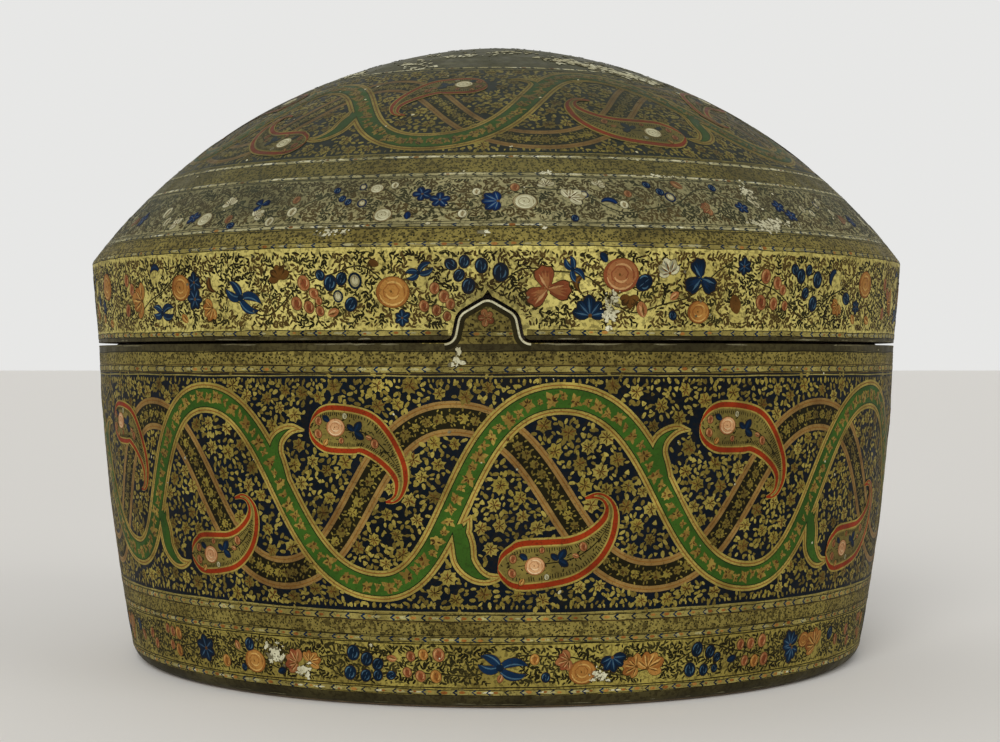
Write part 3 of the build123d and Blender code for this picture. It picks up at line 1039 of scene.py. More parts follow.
def makeRibbon(surface):
    wave = waves[surface]
    mirror = wave["mirror"]
    order = extremes(wave["peaks"], wave["troughs"])
    down, up = (ribbon["down"], ribbon["up"]) if mirror > 0 else (ribbon["up"][::-1], ribbon["down"][::-1])
    spine = waveLine(order, down, up)
    spine = np.vstack([spine, spine[1:2] + (girth, 0)])
    widest = ribbon["layers"][0][1]
    layered(surface, spine, ribbon["layers"], widest)
    kept[surface].append(np.column_stack([spine, np.full(len(spine), widest / 2)]))
    far = np.vstack([spine - (girth, 0), spine, spine + (girth, 0)])
    for (ax, ay, aPeak), (bx, by, bPeak) in zip(order, order[1:]):
        # a hook leaves each flank: near the top where the ribbon comes down, near the foot where it goes up
        falling = aPeak if mirror > 0 else bPeak
        kind = "High" if falling else "Low"
        anchor = crossingX(far, ax, bx, wave["hook" + kind]), wave["hook" + kind]
        for shape in ("hook" + kind, "cusp" + kind):
            path = around(surface, *anchor, smooth(ribbon[shape], 0.8), mirror,
                          stretch=wave["hook" + kind + "Stretch"])
            layered(surface, path, ribbon["layers"], widest)
            kept[surface].append(path)
    # small flowers and leaves along the green
    run = runOf(spine)
    lift = ribbon["flowerLift"]
    for i, place in enumerate(np.arange(1.5, run[-1], ribbon["flowerPitch"])):
        x, y = onLine(spine, run, place)
        nextX, nextY = onLine(spine, run, place + 1)
        ahead = math.atan2(nextY - y, nextX - x)
        side = rng.uniform(-0.6, 0.6)
        x, y = beside(surface, x, y, -math.sin(ahead) * side, math.cos(ahead) * side)
        size = rng.uniform(1.5, 2.1) if i % 2 else rng.uniform(0.9, 1.3)
        dab("ribbon_flowers", surface, x, y, size, ahead + rng.uniform(-0.3, 0.3), lift,
            f"rosette{pick(5)}", tone=int(chance(0.4)), wide=rng.uniform(0.7, 0.95))
        for vein in range(4):
            dab("ribbon_veins", surface, x, y, size * 0.85, anyTurn(), lift + 0.02, "blade", tone=pick(2))
        for way in (0.7, -0.8, 2.3, -2.2):
            if chance(0.75):
                dab("ribbon_flowers", surface, x, y, size + rng.uniform(0.4, 0.9),
                    ahead - math.pi / 2 + way + rng.uniform(-0.4, 0.4), lift - 0.01, "sprout", wide=0.7,
                    tone=pick(2))


def makeBand(surface):
    # its crests pass over the ribbon's flanks that carry no hook, and its troughs under the others
    wave = waves[surface]
    order = extremes(wave["peaks"], wave["troughs"])
    points = []
    for (ax, _, aPeak), (bx, _, bPeak) in zip(order, order[1:]):
        crest = not aPeak if wave["mirror"] > 0 else aPeak
        kind = "High" if crest else "Low"
        points.append(((ax + bx) / 2 + wave[f"band{kind}Shift"], wave["band" + kind], crest))
    points = sorted(points)
    points.append((points[0][0] + girth,) + points[0][1:])
    line = waveLine(points, (0.5, 0.5), (0.5, 0.5))
    line = np.vstack([line, line[1:2] + (girth, 0)])
    layered(surface, line, band["layers"], band["layers"][0][1])
    kept[surface].append(np.column_stack([line, np.full(len(line), band["layers"][0][1] / 2)]))
    run = runOf(line)
    for place in np.arange(1.0, run[-1], band["floretPitch"]):
        x, y = onLine(line, run, place)
        size = rng.uniform(1.3, 1.8)
        dab("band_florets", surface, x, y, size, anyTurn(), 0.045,
            f"rosette{pick(5)}", tone=int(chance(0.6)))
        for _ in range(4):
            dab("floret_veins", surface, x, y, size * 0.8, anyTurn(), 0.08, "blade", wide=0.8)
        for i in range(7):
            angle = i * 0.9 + rng.uniform(-0.3, 0.3)
            leafX, leafY = beside(surface, x, y, *headingVector(angle, rng.uniform(1.4, 2.1)))
            if np.min(np.hypot(line[:, 0] - leafX, line[:, 1] - leafY)) > band["leafReach"]:
                continue
            dab("band_florets", surface, leafX, leafY, rng.uniform(0.8, 1.3),
                angle - math.pi / 2 + rng.uniform(-0.8, 0.8), 0.04, "sprout", wide=0.7, tone=pick(2))


# Botehs: a drop with a curled tail, as a path with its half width, head first
boteh = {
    "high": [(-7.5, 0.1, 0.3), (-7.0, 0.0, 2.6), (-5.6, -0.2, 4.6), (-3.4, -0.4, 6.0), (-0.8, -0.6, 6.6),
             (4.5, -0.9, 6.5), (9.0, -1.6, 5.9), (12.6, -4.0, 4.9), (15.8, -7.4, 3.8), (18.3, -11.2, 2.8),
             (19.3, -15.0, 1.9), (18.5, -18.6, 1.2), (16.9, -20.2, 0.8), (14.8, -20.7, 0.3)],
    "low": [(-8.2, -0.6, 0.3), (-7.7, -0.6, 2.4), (-6.2, -0.5, 4.3), (-4.0, -0.4, 5.6), (-1.5, 0.0, 6.1),
            (4.0, 0.5, 5.9), (9.0, 1.4, 5.4), (13.3, 3.8, 4.5), (16.4, 7.2, 3.4), (18.2, 11.0, 2.2),
            (18.4, 14.2, 1.4), (17.0, 16.6, 0.9), (14.9, 17.4, 0.7), (12.2, 16.8, 0.3)],
    "layers": [("boteh_halo", 0.5, 0.17), ("boteh_red", 0.0, 0.19), ("boteh_inner", -1.35, 0.21),
               ("boteh_ground", -1.75, 0.23)],
}


def makeBoteh(surface, which, x, y, mirror, stretch):
    def onDrop(points):
        return around(surface, x, y, points, mirror, stretch=stretch)

    core = smooth(boteh[which], 0.9)
    for piece, grow, lift in boteh["layers"]:
        path = core.copy()
        path[:, 2] = path[:, 2] + grow * np.clip(path[:, 2] / 2.2, 0.35, 1)
        path = path[path[:, 2] > 0.06]
        stroke(piece, surface, onDrop(path), 1, lift, crest=0.012)
    kept[surface].append(onDrop(core))
    lift = boteh["layers"][-1][2] + 0.02
    # short hairs stand along the inside of the border, closer set than long
    run = runOf(core)
    for place in np.arange(3.4, run[-1] - 9, 0.62):
        here = onLine(core, run, place)
        ahead = (onLine(core, run, place + 0.5) - here)[:2]
        normal = np.array([-ahead[1], ahead[0]]) / max(np.linalg.norm(ahead), 1e-6)
        for side in (1, -1):
            reach = here[2] - 1.95
            if reach < 0.3 or chance(0.04):
                continue
            long = min(rng.uniform(0.7, 1.15), reach)
            a = here[:2] + normal * side * reach
            b = a - normal * side * long + rng.normal(0, 0.07, 2)
            stroke("boteh_hatching", surface, onDrop([a, b]), 0.26, lift, crest=0.015)
    # a stem along the middle, with sprigs between the flowers
    stroke("boteh_hatching", surface, onDrop(core[8:-14, :2]), 0.34, lift, (0.6, 0.3))
    for _ in range(90):
        i = rng.integers(3, len(core) - 8)
        reach = core[i, 2] - 3.1
        if reach < 0.2:
            continue
        angle = rng.uniform(0, 2 * math.pi)
        spot = core[i, :2] + reach * math.sqrt(rng.random()) * np.array([math.cos(angle), math.sin(angle)])
        dab("boteh_hatching", surface, *onDrop([spot])[0], rng.uniform(0.7, 1.2), anyTurn(), lift,
            rng.choice(("curlLeft", "curlRight")), wide=1.0, tone=pick(2))
    sign = 1 if which == "high" else -1
    pale = "peach" if surface == "wall" else "cream"
    for piece, dx, dy, size, turn, hue in (
            ("rose", 0.6, -0.2, 5.0, 0, pale), ("bud", -1.2, 1.4, 2.6, 0.9, "blue"),
            ("bud", 6.2, -1.4 * sign, 3.4, -0.6, "blue"), ("bud", 6.2, -1.4 * sign, 3.2, -2.2, "blue"),
            ("bud", 6.0, -1.2 * sign, 2.6, 0.8, "blue"), ("berry", -4.6, 1.6, 2.4, 0, "pink"),
            ("berry", -4.8, -2.0, 2.6, 0.4, "pink"), ("berry", 3.4, 3.0 * sign, 1.6, 0, "white"),
            ("berry", 12.0, -4.6 * sign, 2.6, 0.3, "pink"), ("berry", 2.2, -3.8 * sign, 1.7, 0, "pink"),
            ("bud", -2.0, -3.4, 2.2, 2.6, "orange"), ("bud", 9.4, -2.6 * sign, 2.0, -1.9, "pink")):
        flower(piece, surface, *onDrop([(dx, dy)])[0], size, turn * mirror, hue, lift + 0.01)


def makeBotehs(surface):
    wave = waves[surface]
    for which in ("high", "low"):
        for x, y, wide, tall in wave[which]:
            makeBoteh(surface, which, x, y, wave["mirror"], (wide, tall))


# Flowers: each is a dark shape, the pigment a little smaller on it, and lighter touches and lines on that.
# A spot is a surface and a place on it
def touch(piece, spot, size, turn, lift, shape, wide=1.0, tone=0, crest=0.01):
    dab(piece, *spot, size, turn, lift, shape, wide, tone, crest)


def petalLine(spot, long, turn, lift, wide=0.5):
    touch("petal_lines", spot, long, turn, lift, "blade", wide, 1)


def arc(piece, spot, reach, start, span, width, lift, wide=1.0, tone=2):
    turns = start + np.linspace(0, span, 8)
    path = np.stack([np.cos(turns) * wide, np.sin(turns)], 1) * reach
    stroke(piece, spot[0], around(*spot, path), width, lift, (0.3, 0.3), tone=tone, crest=0.01)


def rose(spot, size, turn, hue, lift):
    # a full soft flower: petals wrapped round each other, pale along their edges
    touch("outlines", spot, size / 2 + 0.14, 0, lift, "round", 1.1, 1)
    touch(hue, spot, size / 2, 0, lift + 0.015, "round", 1.1)
    inner, eye = ((spot[0], *place) for place in around(*spot, [(0.03 * size, 0.05 * size),
                                                                (-0.05 * size, 0.02 * size)]))
    touch(hue, inner, size * 0.42, 0, lift + 0.03, "round", 1.12, 1)
    touch(hue, eye, size * 0.27, 0.4, lift + 0.045, "scallop", 1.1)
    touch(hue, eye, size * 0.23, 0.4, lift + 0.06, "scallop", 1.1, 1)
    for reach, start, span, width, tone in ((0.41, 3.3, 2.4, 0.07, 2), (0.33, 0.4, 1.7, 0.06, 2),
                                            (0.2, 3.4, 2.4, 0.07, 2), (0.37, 5.9, 0.9, 0.05, 0)):
        arc(hue, spot, size * reach, turn + start, span, width * size, lift + 0.075, 1.08, tone)
    touch("outlines", eye, size * 0.05, 0, lift + 0.09, "fleck", tone=1)


def isBlue(hue):
    return hue in ("blue", "clearBlue")


def berry(spot, size, turn, hue, lift):
    touch("outlines", spot, size / 2 + 0.15, turn, lift, "disc", 0.84)
    touch(hue, spot, size / 2, turn, lift + 0.015, "disc", 0.82, 0 if isBlue(hue) else 1)
    middle = (spot[0], *beside(*spot, 0.07 * size, -0.05 * size))
    touch(hue, middle, size * 0.33, turn, lift + 0.03, "disc", 0.72)
    for reach, start, span in ((0.36, 1.8, 1.7), (0.3, -1.2, 1.6)):
        arc(hue, spot, size * reach, turn + start, span, 0.085 * size, lift + 0.055, 0.85)
    for way in (turn, turn + math.pi):
        if isBlue(hue):
            touch(hue, spot, size * 0.36, way, lift + 0.055, "blade", 0.4, 2)
        else:
            petalLine(spot, size * 0.4, way, lift + 0.055)


def ringed(spot, size, turn, hue, lift):
    pale = "cream" if hue == "clearBlue" else "white"
    touch(hue, spot, size / 2, 0.2, lift, "disc", 0.85)
    touch(pale, spot, size * 0.36, 0.2, lift + 0.02, "disc", 0.8)
    touch(pale, spot, size * 0.24, 0.5, lift + 0.04, "scallop", 0.8, 1)
    petalLine(spot, size * 0.3, turn, lift + 0.06)


def bud(spot, size, turn, hue, lift):
    tone = 0 if isBlue(hue) else 1
    touch("outlines", spot, size + 0.2, turn, lift, "leaf", 1.16)
    touch(hue, spot, size, turn, lift + 0.015, "leaf", 1.15, tone)
    touch(hue, spot, size * 0.8, turn + 0.12, lift + 0.035, "leaf", 0.45, tone + 1)
    if not isBlue(hue):
        petalLine(spot, size * 0.85, turn - 0.14, lift + 0.055)


def blossom(spot, size, turn, hue, lift, petals=5, spread=2 * math.pi, shape="petal", wide=1.0):
    # petals set round the middle, or over part of a turn for a flower seen from the side
    full = spread > 6
    cold = isBlue(hue)
    for i in range(petals):
        share = i / petals if full else i / (petals - 1) - 0.5
        angle = turn + spread * share + rng.uniform(-0.08, 0.08)
        reach = size * (0.5 if full else 0.7 * (1 - 0.3 * abs(share))) * rng.uniform(0.9, 1.08)
        step = 0.012 * (i % 2)
        touch("outlines", spot, reach + 0.18, angle, lift + step, shape, wide * 1.06, crest=0.005)
        touch(hue, spot, reach, angle, lift + 0.015 + step, shape, wide, 0 if i % 2 or cold else 1, 0.005)
        for side in (0.13, -0.15):
            touch(hue, spot, reach * rng.uniform(0.7, 0.92), angle + side, lift + 0.04, "leaf", 0.26,
                  1 if cold or side < 0 else 2)
        if cold:
            touch(hue, spot, reach * 0.9, angle + 0.02, lift + 0.055, "blade", 0.3, 2)
        else:
            petalLine(spot, reach * 0.8, angle, lift + 0.055, 0.4)
    touch("umber", spot, size * 0.07, 0, lift + 0.06, "bead", tone=1)


def star(spot, size, turn, hue, lift):
    blossom(spot, size, turn, hue, lift, petals=6, shape="leaf", wide=1.3)


def lily(spot, size, turn, hue, lift):
    blossom(spot, size, turn, hue, lift, petals=5, spread=2.7, shape="leaf", wide=1.15)


def fans(spot, size, turn, hue, lift):
    for way in (-1.9, 0.0, 1.9):
        touch("outlines", spot, size * 0.55, turn + way, lift, "fan")
        touch(hue, spot, size * 0.52, turn + way, lift + 0.015, "fan", 0.95)
        for vein in (-0.3, -0.1, 0.1, 0.3):
            touch(hue, spot, size * rng.uniform(0.38, 0.48), turn + way + vein, lift + 0.03, "blade", 0.5,
                  1 if vein < 0.2 else 2)


def comma(spot, size, turn, hue, lift):
    angles = np.linspace(0, 2.2, 7)
    half = size * 0.17 * np.sin(np.linspace(0.5, math.pi, 7)) + 0.05
    points = np.stack([np.cos(angles) * size * 0.5, np.sin(angles) * size * 0.5, half], 1)
    for piece, share, grow, up, tone in (("outlines", 1, 0.15, 0, 0), (hue, 1, 0, 0.02, 0),
                                         (hue, 0.35, 0, 0.04, 1)):
        path = points * (1, 1, share) + (0, 0, grow)
        stroke(piece, spot[0], around(*spot, path, turn=turn), 1, lift + up, tone=tone)


def iris(spot, size, turn, hue, lift):
    # horned petals that curl away from the middle, light along one edge
    for way, curl, long in ((0.7, 1.2, 1.0), (-0.7, -1.0, 0.8), (2.3, -1.4, 1.0), (-2.2, 1.2, 0.8)):
        angles = turn + way + curl * np.linspace(0, 1, 8)
        steps = np.stack([np.sin(angles), np.cos(angles)], 1) * size * long * 0.1
        half = size * 0.12 * np.sin(np.linspace(0.7, math.pi, 8))
        for piece, grow, tone, up in (("outlines", 0.16, 0, 0.0), (hue, 0.04, 1, 0.02)):
            path = np.column_stack([np.cumsum(steps, axis=0), half + grow])
            stroke(piece, spot[0], around(*spot, path), 1, lift + up, tone=tone, crest=0.01)
        edge = (np.cumsum(steps, axis=0) + np.stack([steps[:, 1], -steps[:, 0]], 1) * 0.55)[:7]
        stroke(hue, spot[0], around(*spot, edge), size * 0.04, lift + 0.045, (0.6, 0.2), tone=2, crest=0.01)
    touch(hue, spot, size * 0.11, 0, lift + 0.05, "bead")


flowerKinds = {"iris": iris, "rose": rose, "berry": berry, "ringed": ringed, "bud": bud, "blossom": blossom,
               "star": star, "lily": lily, "fans": fans, "comma": comma}


def flower(kind, surface, x, y, size, turn, hue, lift=0.08):
    flowerKinds[kind]((surface, x, y), size, turn, hue, lift)


# Flowers of the lid's rim over a third of its girth: kind and pigment, then x, z, size and turn of each
rimFlowers = [
    ("lily orange", (-119, 115.3, 9, 1.4)), ("comma blue", (-110.6, 122.6, 5, 0.6)),
    ("iris blue", (-108, 111.4, 8, 0)), ("rose orange", (-98.4, 118.6, 7.5, 0)),
    ("star blue", (-92.3, 120, 6, 0), (-92.3, 115.2, 6.4, 0.5)), ("lily orange", (-85.4, 112.6, 6, 2.1)),
    ("bud orange", (-95.9, 108.6, 3.4, 0.9)), ("comma umber", (-84, 119.7, 5, 2.5)),
    ("iris blue", (-74.6, 115.2, 10, 0.5)), ("lily umber", (-61.2, 120.4, 6, 0.3)),
    ("berry pink", (-53.6, 119, 4.4, 0.4), (-56, 113.4, 3.9, 0.4), (-52.2, 112.3, 3.6, 0.4),
     (-50.6, 116.1, 3.2, 0.6), (-48.9, 111.2, 3, 0.4)), ("bud pink", (-46.6, 110.1, 3.6, -1.2)),
    ("berry pink", (-49.2, 114, 2.4, 0.4)),
    ("berry blue", (-48.5, 121.1, 3.2, 0.7), (-45.6, 118.9, 4.6, -0.1), (-42.3, 120, 3.8, -0.3)),
    ("ringed blue", (-43.4, 115.2, 3.6, 0)), ("berry blue", (-39.7, 113, 4.2, -0.5)),
    ("ringed blue", (-38.4, 119.4, 4.8, 0)), ("rose orange", (-27.9, 116.2, 8.5, 0)),
    ("star blue", (-25.4, 109.2, 4.6, 0)), ("bud umber", (-31.6, 123.6, 3, 1.2)),
    ("iris blue", (-20.8, 121.4, 6, -0.4)),
    ("berry pink", (-16.5, 117.2, 3.2, 0), (-14, 115, 3.4, 0), (-19.4, 112.4, 3.2, 0.3), (-16, 111.2, 3, 0),
     (-12.3, 112.9, 3, 0), (-13.2, 109.6, 2.6, 0)),
    ("berry blue", (-12.1, 123.7, 3.6, 1), (-8.5, 124.4, 3.6, -0.1), (-9.9, 120.7, 3.6, -0.5),
     (-4, 123.3, 4.2, 0.1), (-7.4, 117.8, 4.4, -0.2), (1.1, 121.5, 5.2, 0)),
    ("fans pink", (13.6, 117, 12, 0.25)), ("iris blue", (20.2, 122.4, 6, 1)),
    ("comma umber", (23.4, 118.4, 4.4, 2)), ("lily blue", (25.2, 109.8, 8, 0)),
    ("bud blue", (29.6, 124.4, 3.2, 0.6)), ("rose pink", (33.6, 120.9, 9.2, 0)),
    ("lily umber", (36.2, 115, 4.6, 3.1)), ("berry blue", (40.2, 118.9, 5.2, -0.9)),
    ("bud pink", (40.4, 109.4, 4.6, 0.3)), ("lily white", (47.6, 121.6, 6, 0.4)),
    ("bud pink", (48, 114.4, 3.2, -0.9)), ("berry blue", (48.9, 110, 2.8, 0.5)),
    ("rose orange", (56.8, 111, 6.2, 0)), ("fans blue", (57.2, 120.4, 10.5, 2.2)),
    ("bud umber", (69.6, 110.6, 5.6, 0.3)), ("star blue", (71.2, 124, 5, 0)),
    ("berry pink", (79.2, 121.4, 4.2, 0), (83.7, 119.6, 3.8, 0.2), (77.8, 114, 4.4, 0.3),
     (82.5, 113.7, 3.6, 0), (85.9, 117.7, 3, 0), (87, 113.2, 2.8, 0)),
    ("berry blue", (90.6, 123.6, 3.6, 0.8), (93.2, 121.8, 4.4, 0), (96.5, 123.6, 3.4, -0.4),
     (100.6, 121, 5, 0), (95.4, 117, 3.6, -0.6), (99.1, 114, 4.6, -0.2)),
    ("comma blue", (109.8, 121, 5.6, 1.6)), ("berry blue", (116.2, 115.9, 4.4, 1.2)),
    ("lily orange", (111.6, 114, 5.6, 2.4)), ("rose orange", (128.2, 120.4, 8, 0)),
    ("star blue", (122.6, 113.6, 4.6, 0)), ("bud orange", (122, 108.4, 3.4, 0.6), (132.6, 109, 3.8, 1.2)),
    ("berry pink", (146, 121, 4, 0), (149.6, 118.4, 3.6, 0), (145, 112, 3.8, 0)),
]
# Flowers of the band round the foot, in the same way
footFlowers = [
    ("berry pink", (-122, 16.4, 3, 0), (-118.6, 15.8, 3.2, 0.3)), ("berry orange", (-115, 15.6, 4, 0.2)),
    ("berry pink", (-120, 11.6, 3, 0)), ("berry orange", (-116, 10.4, 4, 0.3)),
    ("star blue", (-100.3, 12.6, 8.4, 0.2)), ("berry orange", (-91, 9.8, 3.8, 0)),
    ("bud pink", (-84.6, 13.6, 3, 0.4)), ("berry blue", (-80.2, 15.6, 4.2, -0.2)),
    ("rose orange", (-78.6, 10.8, 6.8, 0)), ("berry blue", (-83.4, 8.6, 2.4, 0)),
    ("bud blue", (-70, 8.2, 3.2, -1.2)), ("lily pink", (-62.4, 11.6, 6.6, 1.1)),
    ("lily orange", (-58, 12.2, 5.6, -0.7)),
    ("berry blue", (-43.2, 15.6, 4.6, -0.2), (-44.6, 9.8, 4.4, -0.3), (-39, 14, 4.2, -0.3),
     (-39.6, 9.2, 3.8, -0.4), (-35.6, 12.6, 3.8, -0.5), (-35.8, 9.4, 3.4, -0.2), (-31.6, 9.6, 3, -1)),
    ("bud pink", (-29.6, 14.2, 3, 1.4)), ("berry pink", (-25.4, 15.2, 3, 0.2)),
    ("berry orange", (-21.6, 15.8, 3.2, 0.2)),
    ("berry pink", (-17, 15.8, 4, 0.2), (-26.6, 10.6, 3, 0.3), (-22.6, 9.6, 3.4, 0.3)),
    ("berry orange", (-18, 9.6, 3.8, 0.2)), ("iris blue", (1, 12.2, 10.5, 0.2)),
    ("bud pink", (1.6, 10.4, 2.6, 2.8)), ("berry orange", (11.2, 14.6, 3.2, 0)),
    ("berry blue", (14.6, 9.4, 3, 0)), ("rose orange", (25.6, 10.6, 7, 0)),
    ("lily pink", (21.4, 14.4, 5.4, 1.8)), ("lily blue", (34.6, 14.6, 6.8, -2.9)),
    ("lily orange", (46, 11, 8, -0.5), (42.4, 11.6, 6.4, 1.4)),
    ("berry blue", (62.6, 15.4, 4.4, -0.2), (60.6, 9.6, 4.4, 0.3), (67.4, 14.4, 4, -0.2),
     (65.6, 9.2, 3.6, 0.1), (70.2, 12.6, 3, -0.4), (69.6, 9.4, 2.6, 0)),
    ("bud blue", (74.2, 11.2, 3.4, -1.3)),
    ("berry pink", (79, 15.6, 3.2, 0), (83.2, 15.6, 3.4, 0), (88, 16, 4, 0), (81.4, 10.6, 3.2, 0)),
    ("berry orange", (85.6, 10.2, 3.8, 0)), ("berry pink", (89.8, 10.4, 4, 0)),
    ("lily blue", (102, 13.4, 6.4, 0.4), (103, 12.4, 6.4, 2.9)), ("rose orange", (109, 14.2, 4.6, 0)),
    ("lily orange", (116.4, 11.8, 8.4, 0.8)), ("berry blue", (126, 14.4, 4.2, -0.2)),
    ("bud pink", (132, 10, 4, 0.4)), ("berry pink", (140, 14, 3.6, 0), (143, 10.2, 3.4, 0)),
]
# Small flowers of the dome's floral band: an azimuth in degrees and the run from the shoulder for x and z
domeFlowers = [
    ("blossom clearBlue", (-60, 15, 6, 0)), ("berry cream", (-52.6, 16.5, 4.4, 0), (-50.6, 12.4, 3.6, 0)),
    ("lily cream", (-47.6, 11, 4.6, 1)), ("blossom clearBlue", (-44.4, 13, 5, 0)),
    ("rose cream", (-41.8, 12, 5.2, 0)), ("lily cream", (-38.6, 17.6, 4.6, 0.4)),
    ("berry pink", (-37, 11.4, 3.2, 0)), ("fans clearBlue", (-32.6, 16.4, 5.6, 0.8)),
    ("berry clearBlue", (-36, 8.8, 3, 1.4)), ("lily cream", (-32.6, 12, 4.8, -0.8)),
    ("berry cream", (-29.8, 9.6, 3.4, 0)), ("berry pink", (-27.2, 17.8, 3, 0)),
    ("berry cream", (-27, 13, 3.6, 0)), ("berry clearBlue", (-21.6, 21, 2.6, 0.4), (-20.4, 17.6, 2.6, 0)),
    ("ringed clearBlue", (-17.4, 15.6, 3.4, 0)), ("berry clearBlue", (-19.4, 16.2, 2.6, 0)),
    ("ringed clearBlue", (-18, 22.2, 2.8, 0)), ("rose cream", (-16, 21.4, 3.6, 0)),
    ("berry cream", (-13.6, 22.6, 2.6, 0)), ("rose cream", (-14.2, 10.8, 4.8, 0)),
    ("blossom clearBlue", (-9.6, 18.8, 5.6, 0.4), (-7.2, 16.4, 5.8, 0)), ("bud clearBlue", (-11, 9, 3, 0)),
    ("berry cream", (-2.6, 19.6, 2.8, 0), (-4.2, 11, 3, 0)), ("lily clearBlue", (0.2, 15.8, 7, 1.6)),
    ("rose cream", (3.6, 15.6, 6, 0)), ("berry pink", (2.4, 21.4, 3.2, 0)),
    ("lily cream", (6.6, 22.2, 4.8, 0.2), (9.4, 17.4, 6.4, -0.9)), ("ringed clearBlue", (11.4, 18.8, 3, 0)),
    ("berry clearBlue", (9.6, 9.4, 2.6, 0)), ("lily cream", (13.6, 22.6, 3.8, -0.5)),
    ("comma clearBlue", (14.4, 14.4, 5, 0.4)), ("berry pink", (17.4, 19.4, 2.8, 0)),
    ("berry cream", (16.4, 15, 3, 0)), ("berry clearBlue", (20.6, 23.4, 2.8, 0.6), (22.2, 20.6, 3, 0.2)),
    ("ringed clearBlue", (23.4, 18.6, 4, 0)), ("bud pink", (26, 22.4, 4.2, 0.8)),
    ("berry clearBlue", (31, 23.4, 3, 0)), ("lily pink", (28.6, 14.6, 4.6, 1.5)),
    ("blossom clearBlue", (34.2, 15.6, 4.8, 0)), ("berry cream", (37.2, 17.4, 3, 0)),
    ("blossom clearBlue", (41.6, 17.2, 5, 0), (43, 13.8, 5, 0)),
    ("berry cream", (46.8, 17, 2.8, 0), (48.6, 15.6, 2.6, 0)), ("ringed clearBlue", (51.6, 19.6, 3, 0)),
    ("berry cream", (53.2, 21.4, 2.6, 0), (54.8, 17, 2.8, 0)), ("lily pink", (57, 13.6, 4.4, 0.4)),
]


def inNotch(x, z):
    reach = np.interp(z, (seamZ, seamZ + 1.5, seamZ + 8, seamZ + 14, seamZ + 15), (14, 11.4, 10.2, 2.5, -1))
    return abs((x - tab["offset"] + girth / 2) % girth - girth / 2) < reach


def foliage(part, surface, low, high, cover, tries, tones):
    # curling stems with bent leaves on both sides, then single leaves in what is left, clear of each other
    def clearOf(place, reach):
        x, y = place[:2]
        if not low + 0.4 < y < high - 0.4 or not cover.free(x, y, reach):
            return False
        return not (surface == "lid" and y < 0 and inNotch(x, shoulderZ + y * math.cos(rimLean)))

    def leaf(start, heading, long, tone):
        middle = beside(surface, *start, *headingVector(heading, long / 2))
        if not clearOf(middle, 0.42):
            return
        cover.mark(*middle, 0.42)
        shape = "curlLeft" if chance(0.5) else "curlRight"
        dab("sprays_" + part, surface, *start, long, heading - math.pi / 2, 0.03, shape,
            wide=rng.uniform(0.85, 1.25), tone=tone, crest=0.015)

    for _ in range(tries[0]):
        heading = rng.uniform(0, 2 * math.pi)
        bend = rng.choice((-1, 1)) * rng.uniform(0.05, 0.3)
        path = [np.array([rng.uniform(0, girth), rng.uniform(low, high)])]
        headings = []
        while len(path) < 9 and clearOf(path[-1], 0.25):
            headings.append(heading)
            path.append(beside(surface, *path[-1], *headingVector(heading, 0.85)))
            heading += bend
            bend *= 1.18
        path = path[:-1]
        if len(path) < 4:
            continue
        tone = int(rng.choice(tones))
        stroke("tendrils_" + part, surface, path, rng.uniform(0.22, 0.3), 0.025, (1.2, 0.7), tone=tone,
               crest=0.012)
        for place, ahead in zip(path, headings):
            for way in (0.8, -0.8):
                leaf(place, ahead + way + rng.uniform(-0.2, 0.2), rng.uniform(1.1, 1.7), tone)
        for place in path:
            cover.mark(*place, 0.3)
    for _ in range(tries[1]):
        start = (rng.uniform(0, girth), rng.uniform(low, high))
        leaf(start, rng.uniform(0, 2 * math.pi), rng.uniform(1.0, 1.8), int(rng.choice(tones)))


def floralBand(part, surface, low, high, tries, tones, flowers, toPlace):
    # flowers on a winding stem, and black leafy sprays that fill the gold between them
    third = girth / 3
    cover = Cover(surface, low - 3, high + 3, 0.3)
    for turnRound in (0, 1, -1):
        loose = 0 if turnRound == 0 else 1
        for look, *places in flowers:
            kind, hue = look.split()
            for fx, fy, size, turn in places:
                x, y = toPlace(fx, fy)
                x = x + turnRound * third + loose * rng.uniform(-0.8, 0.8)
                y = y + loose * rng.uniform(-0.6, 0.6)
                cover.mark(x, y, size * 0.46)
                flower(kind, surface, x, y, size * (1 + loose * rng.uniform(-0.08, 0.08)),
                       turn + loose * rng.uniform(-0.3, 0.3), hue)
    middle, swing = (low + high) / 2, (high - low) * 0.28
    xs = np.linspace(0, girth, 330)
    waves15, waves41 = (xs / girth * 2 * math.pi * n for n in (15, 41))
    wind = middle + swing * np.sin(waves15) + 0.2 * swing * np.sin(waves41)
    clear = [not (surface == "lid" and y < 0 and inNotch(x, shoulderZ + y)) for x, y in zip(xs, wind)]
    stroke("stems", surface, np.stack([xs, wind], 1)[clear], 0.4, 0.035, tone=1)
    for x, y in zip(xs, wind):
        cover.mark(x, y, 0.3)
    foliage(part, surface, low, high, cover, tries, tones)


def speckBand(surface, low, high, cell, size):
    # dark specks, one in most of the cells of a band
    rows = max(1, int(round((high - low) / cell)))
    for row in range(rows):
        y0 = low + (row + 0.5) * (high - low) / rows
        count = int(2 * math.pi * localRadius(surface, y0) / cell)
        for i in range(count):
            if chance(0.12):
                continue
            x = (i + rng.uniform(0, 1)) * girth / count
            y = y0 + rng.uniform(-0.4, 0.4) * cell
            dab("specks", surface, x, y, size * rng.uniform(0.6, 1.25), anyTurn(), 0.03,
                "speck" if chance(0.6) else "fleck", tone=pick(2), crest=0.02)


# Gold flowers strewn over the blue field. Each dab keeps a thin gap of blue between itself and the others
field = {
    "wall": {"low": 28.3, "high": 93.0, "flowers": 11000, "leaves": 34000},
    "lid": {"low": 37.3, "high": 92.0, "flowers": 7500, "leaves": 22000},
}


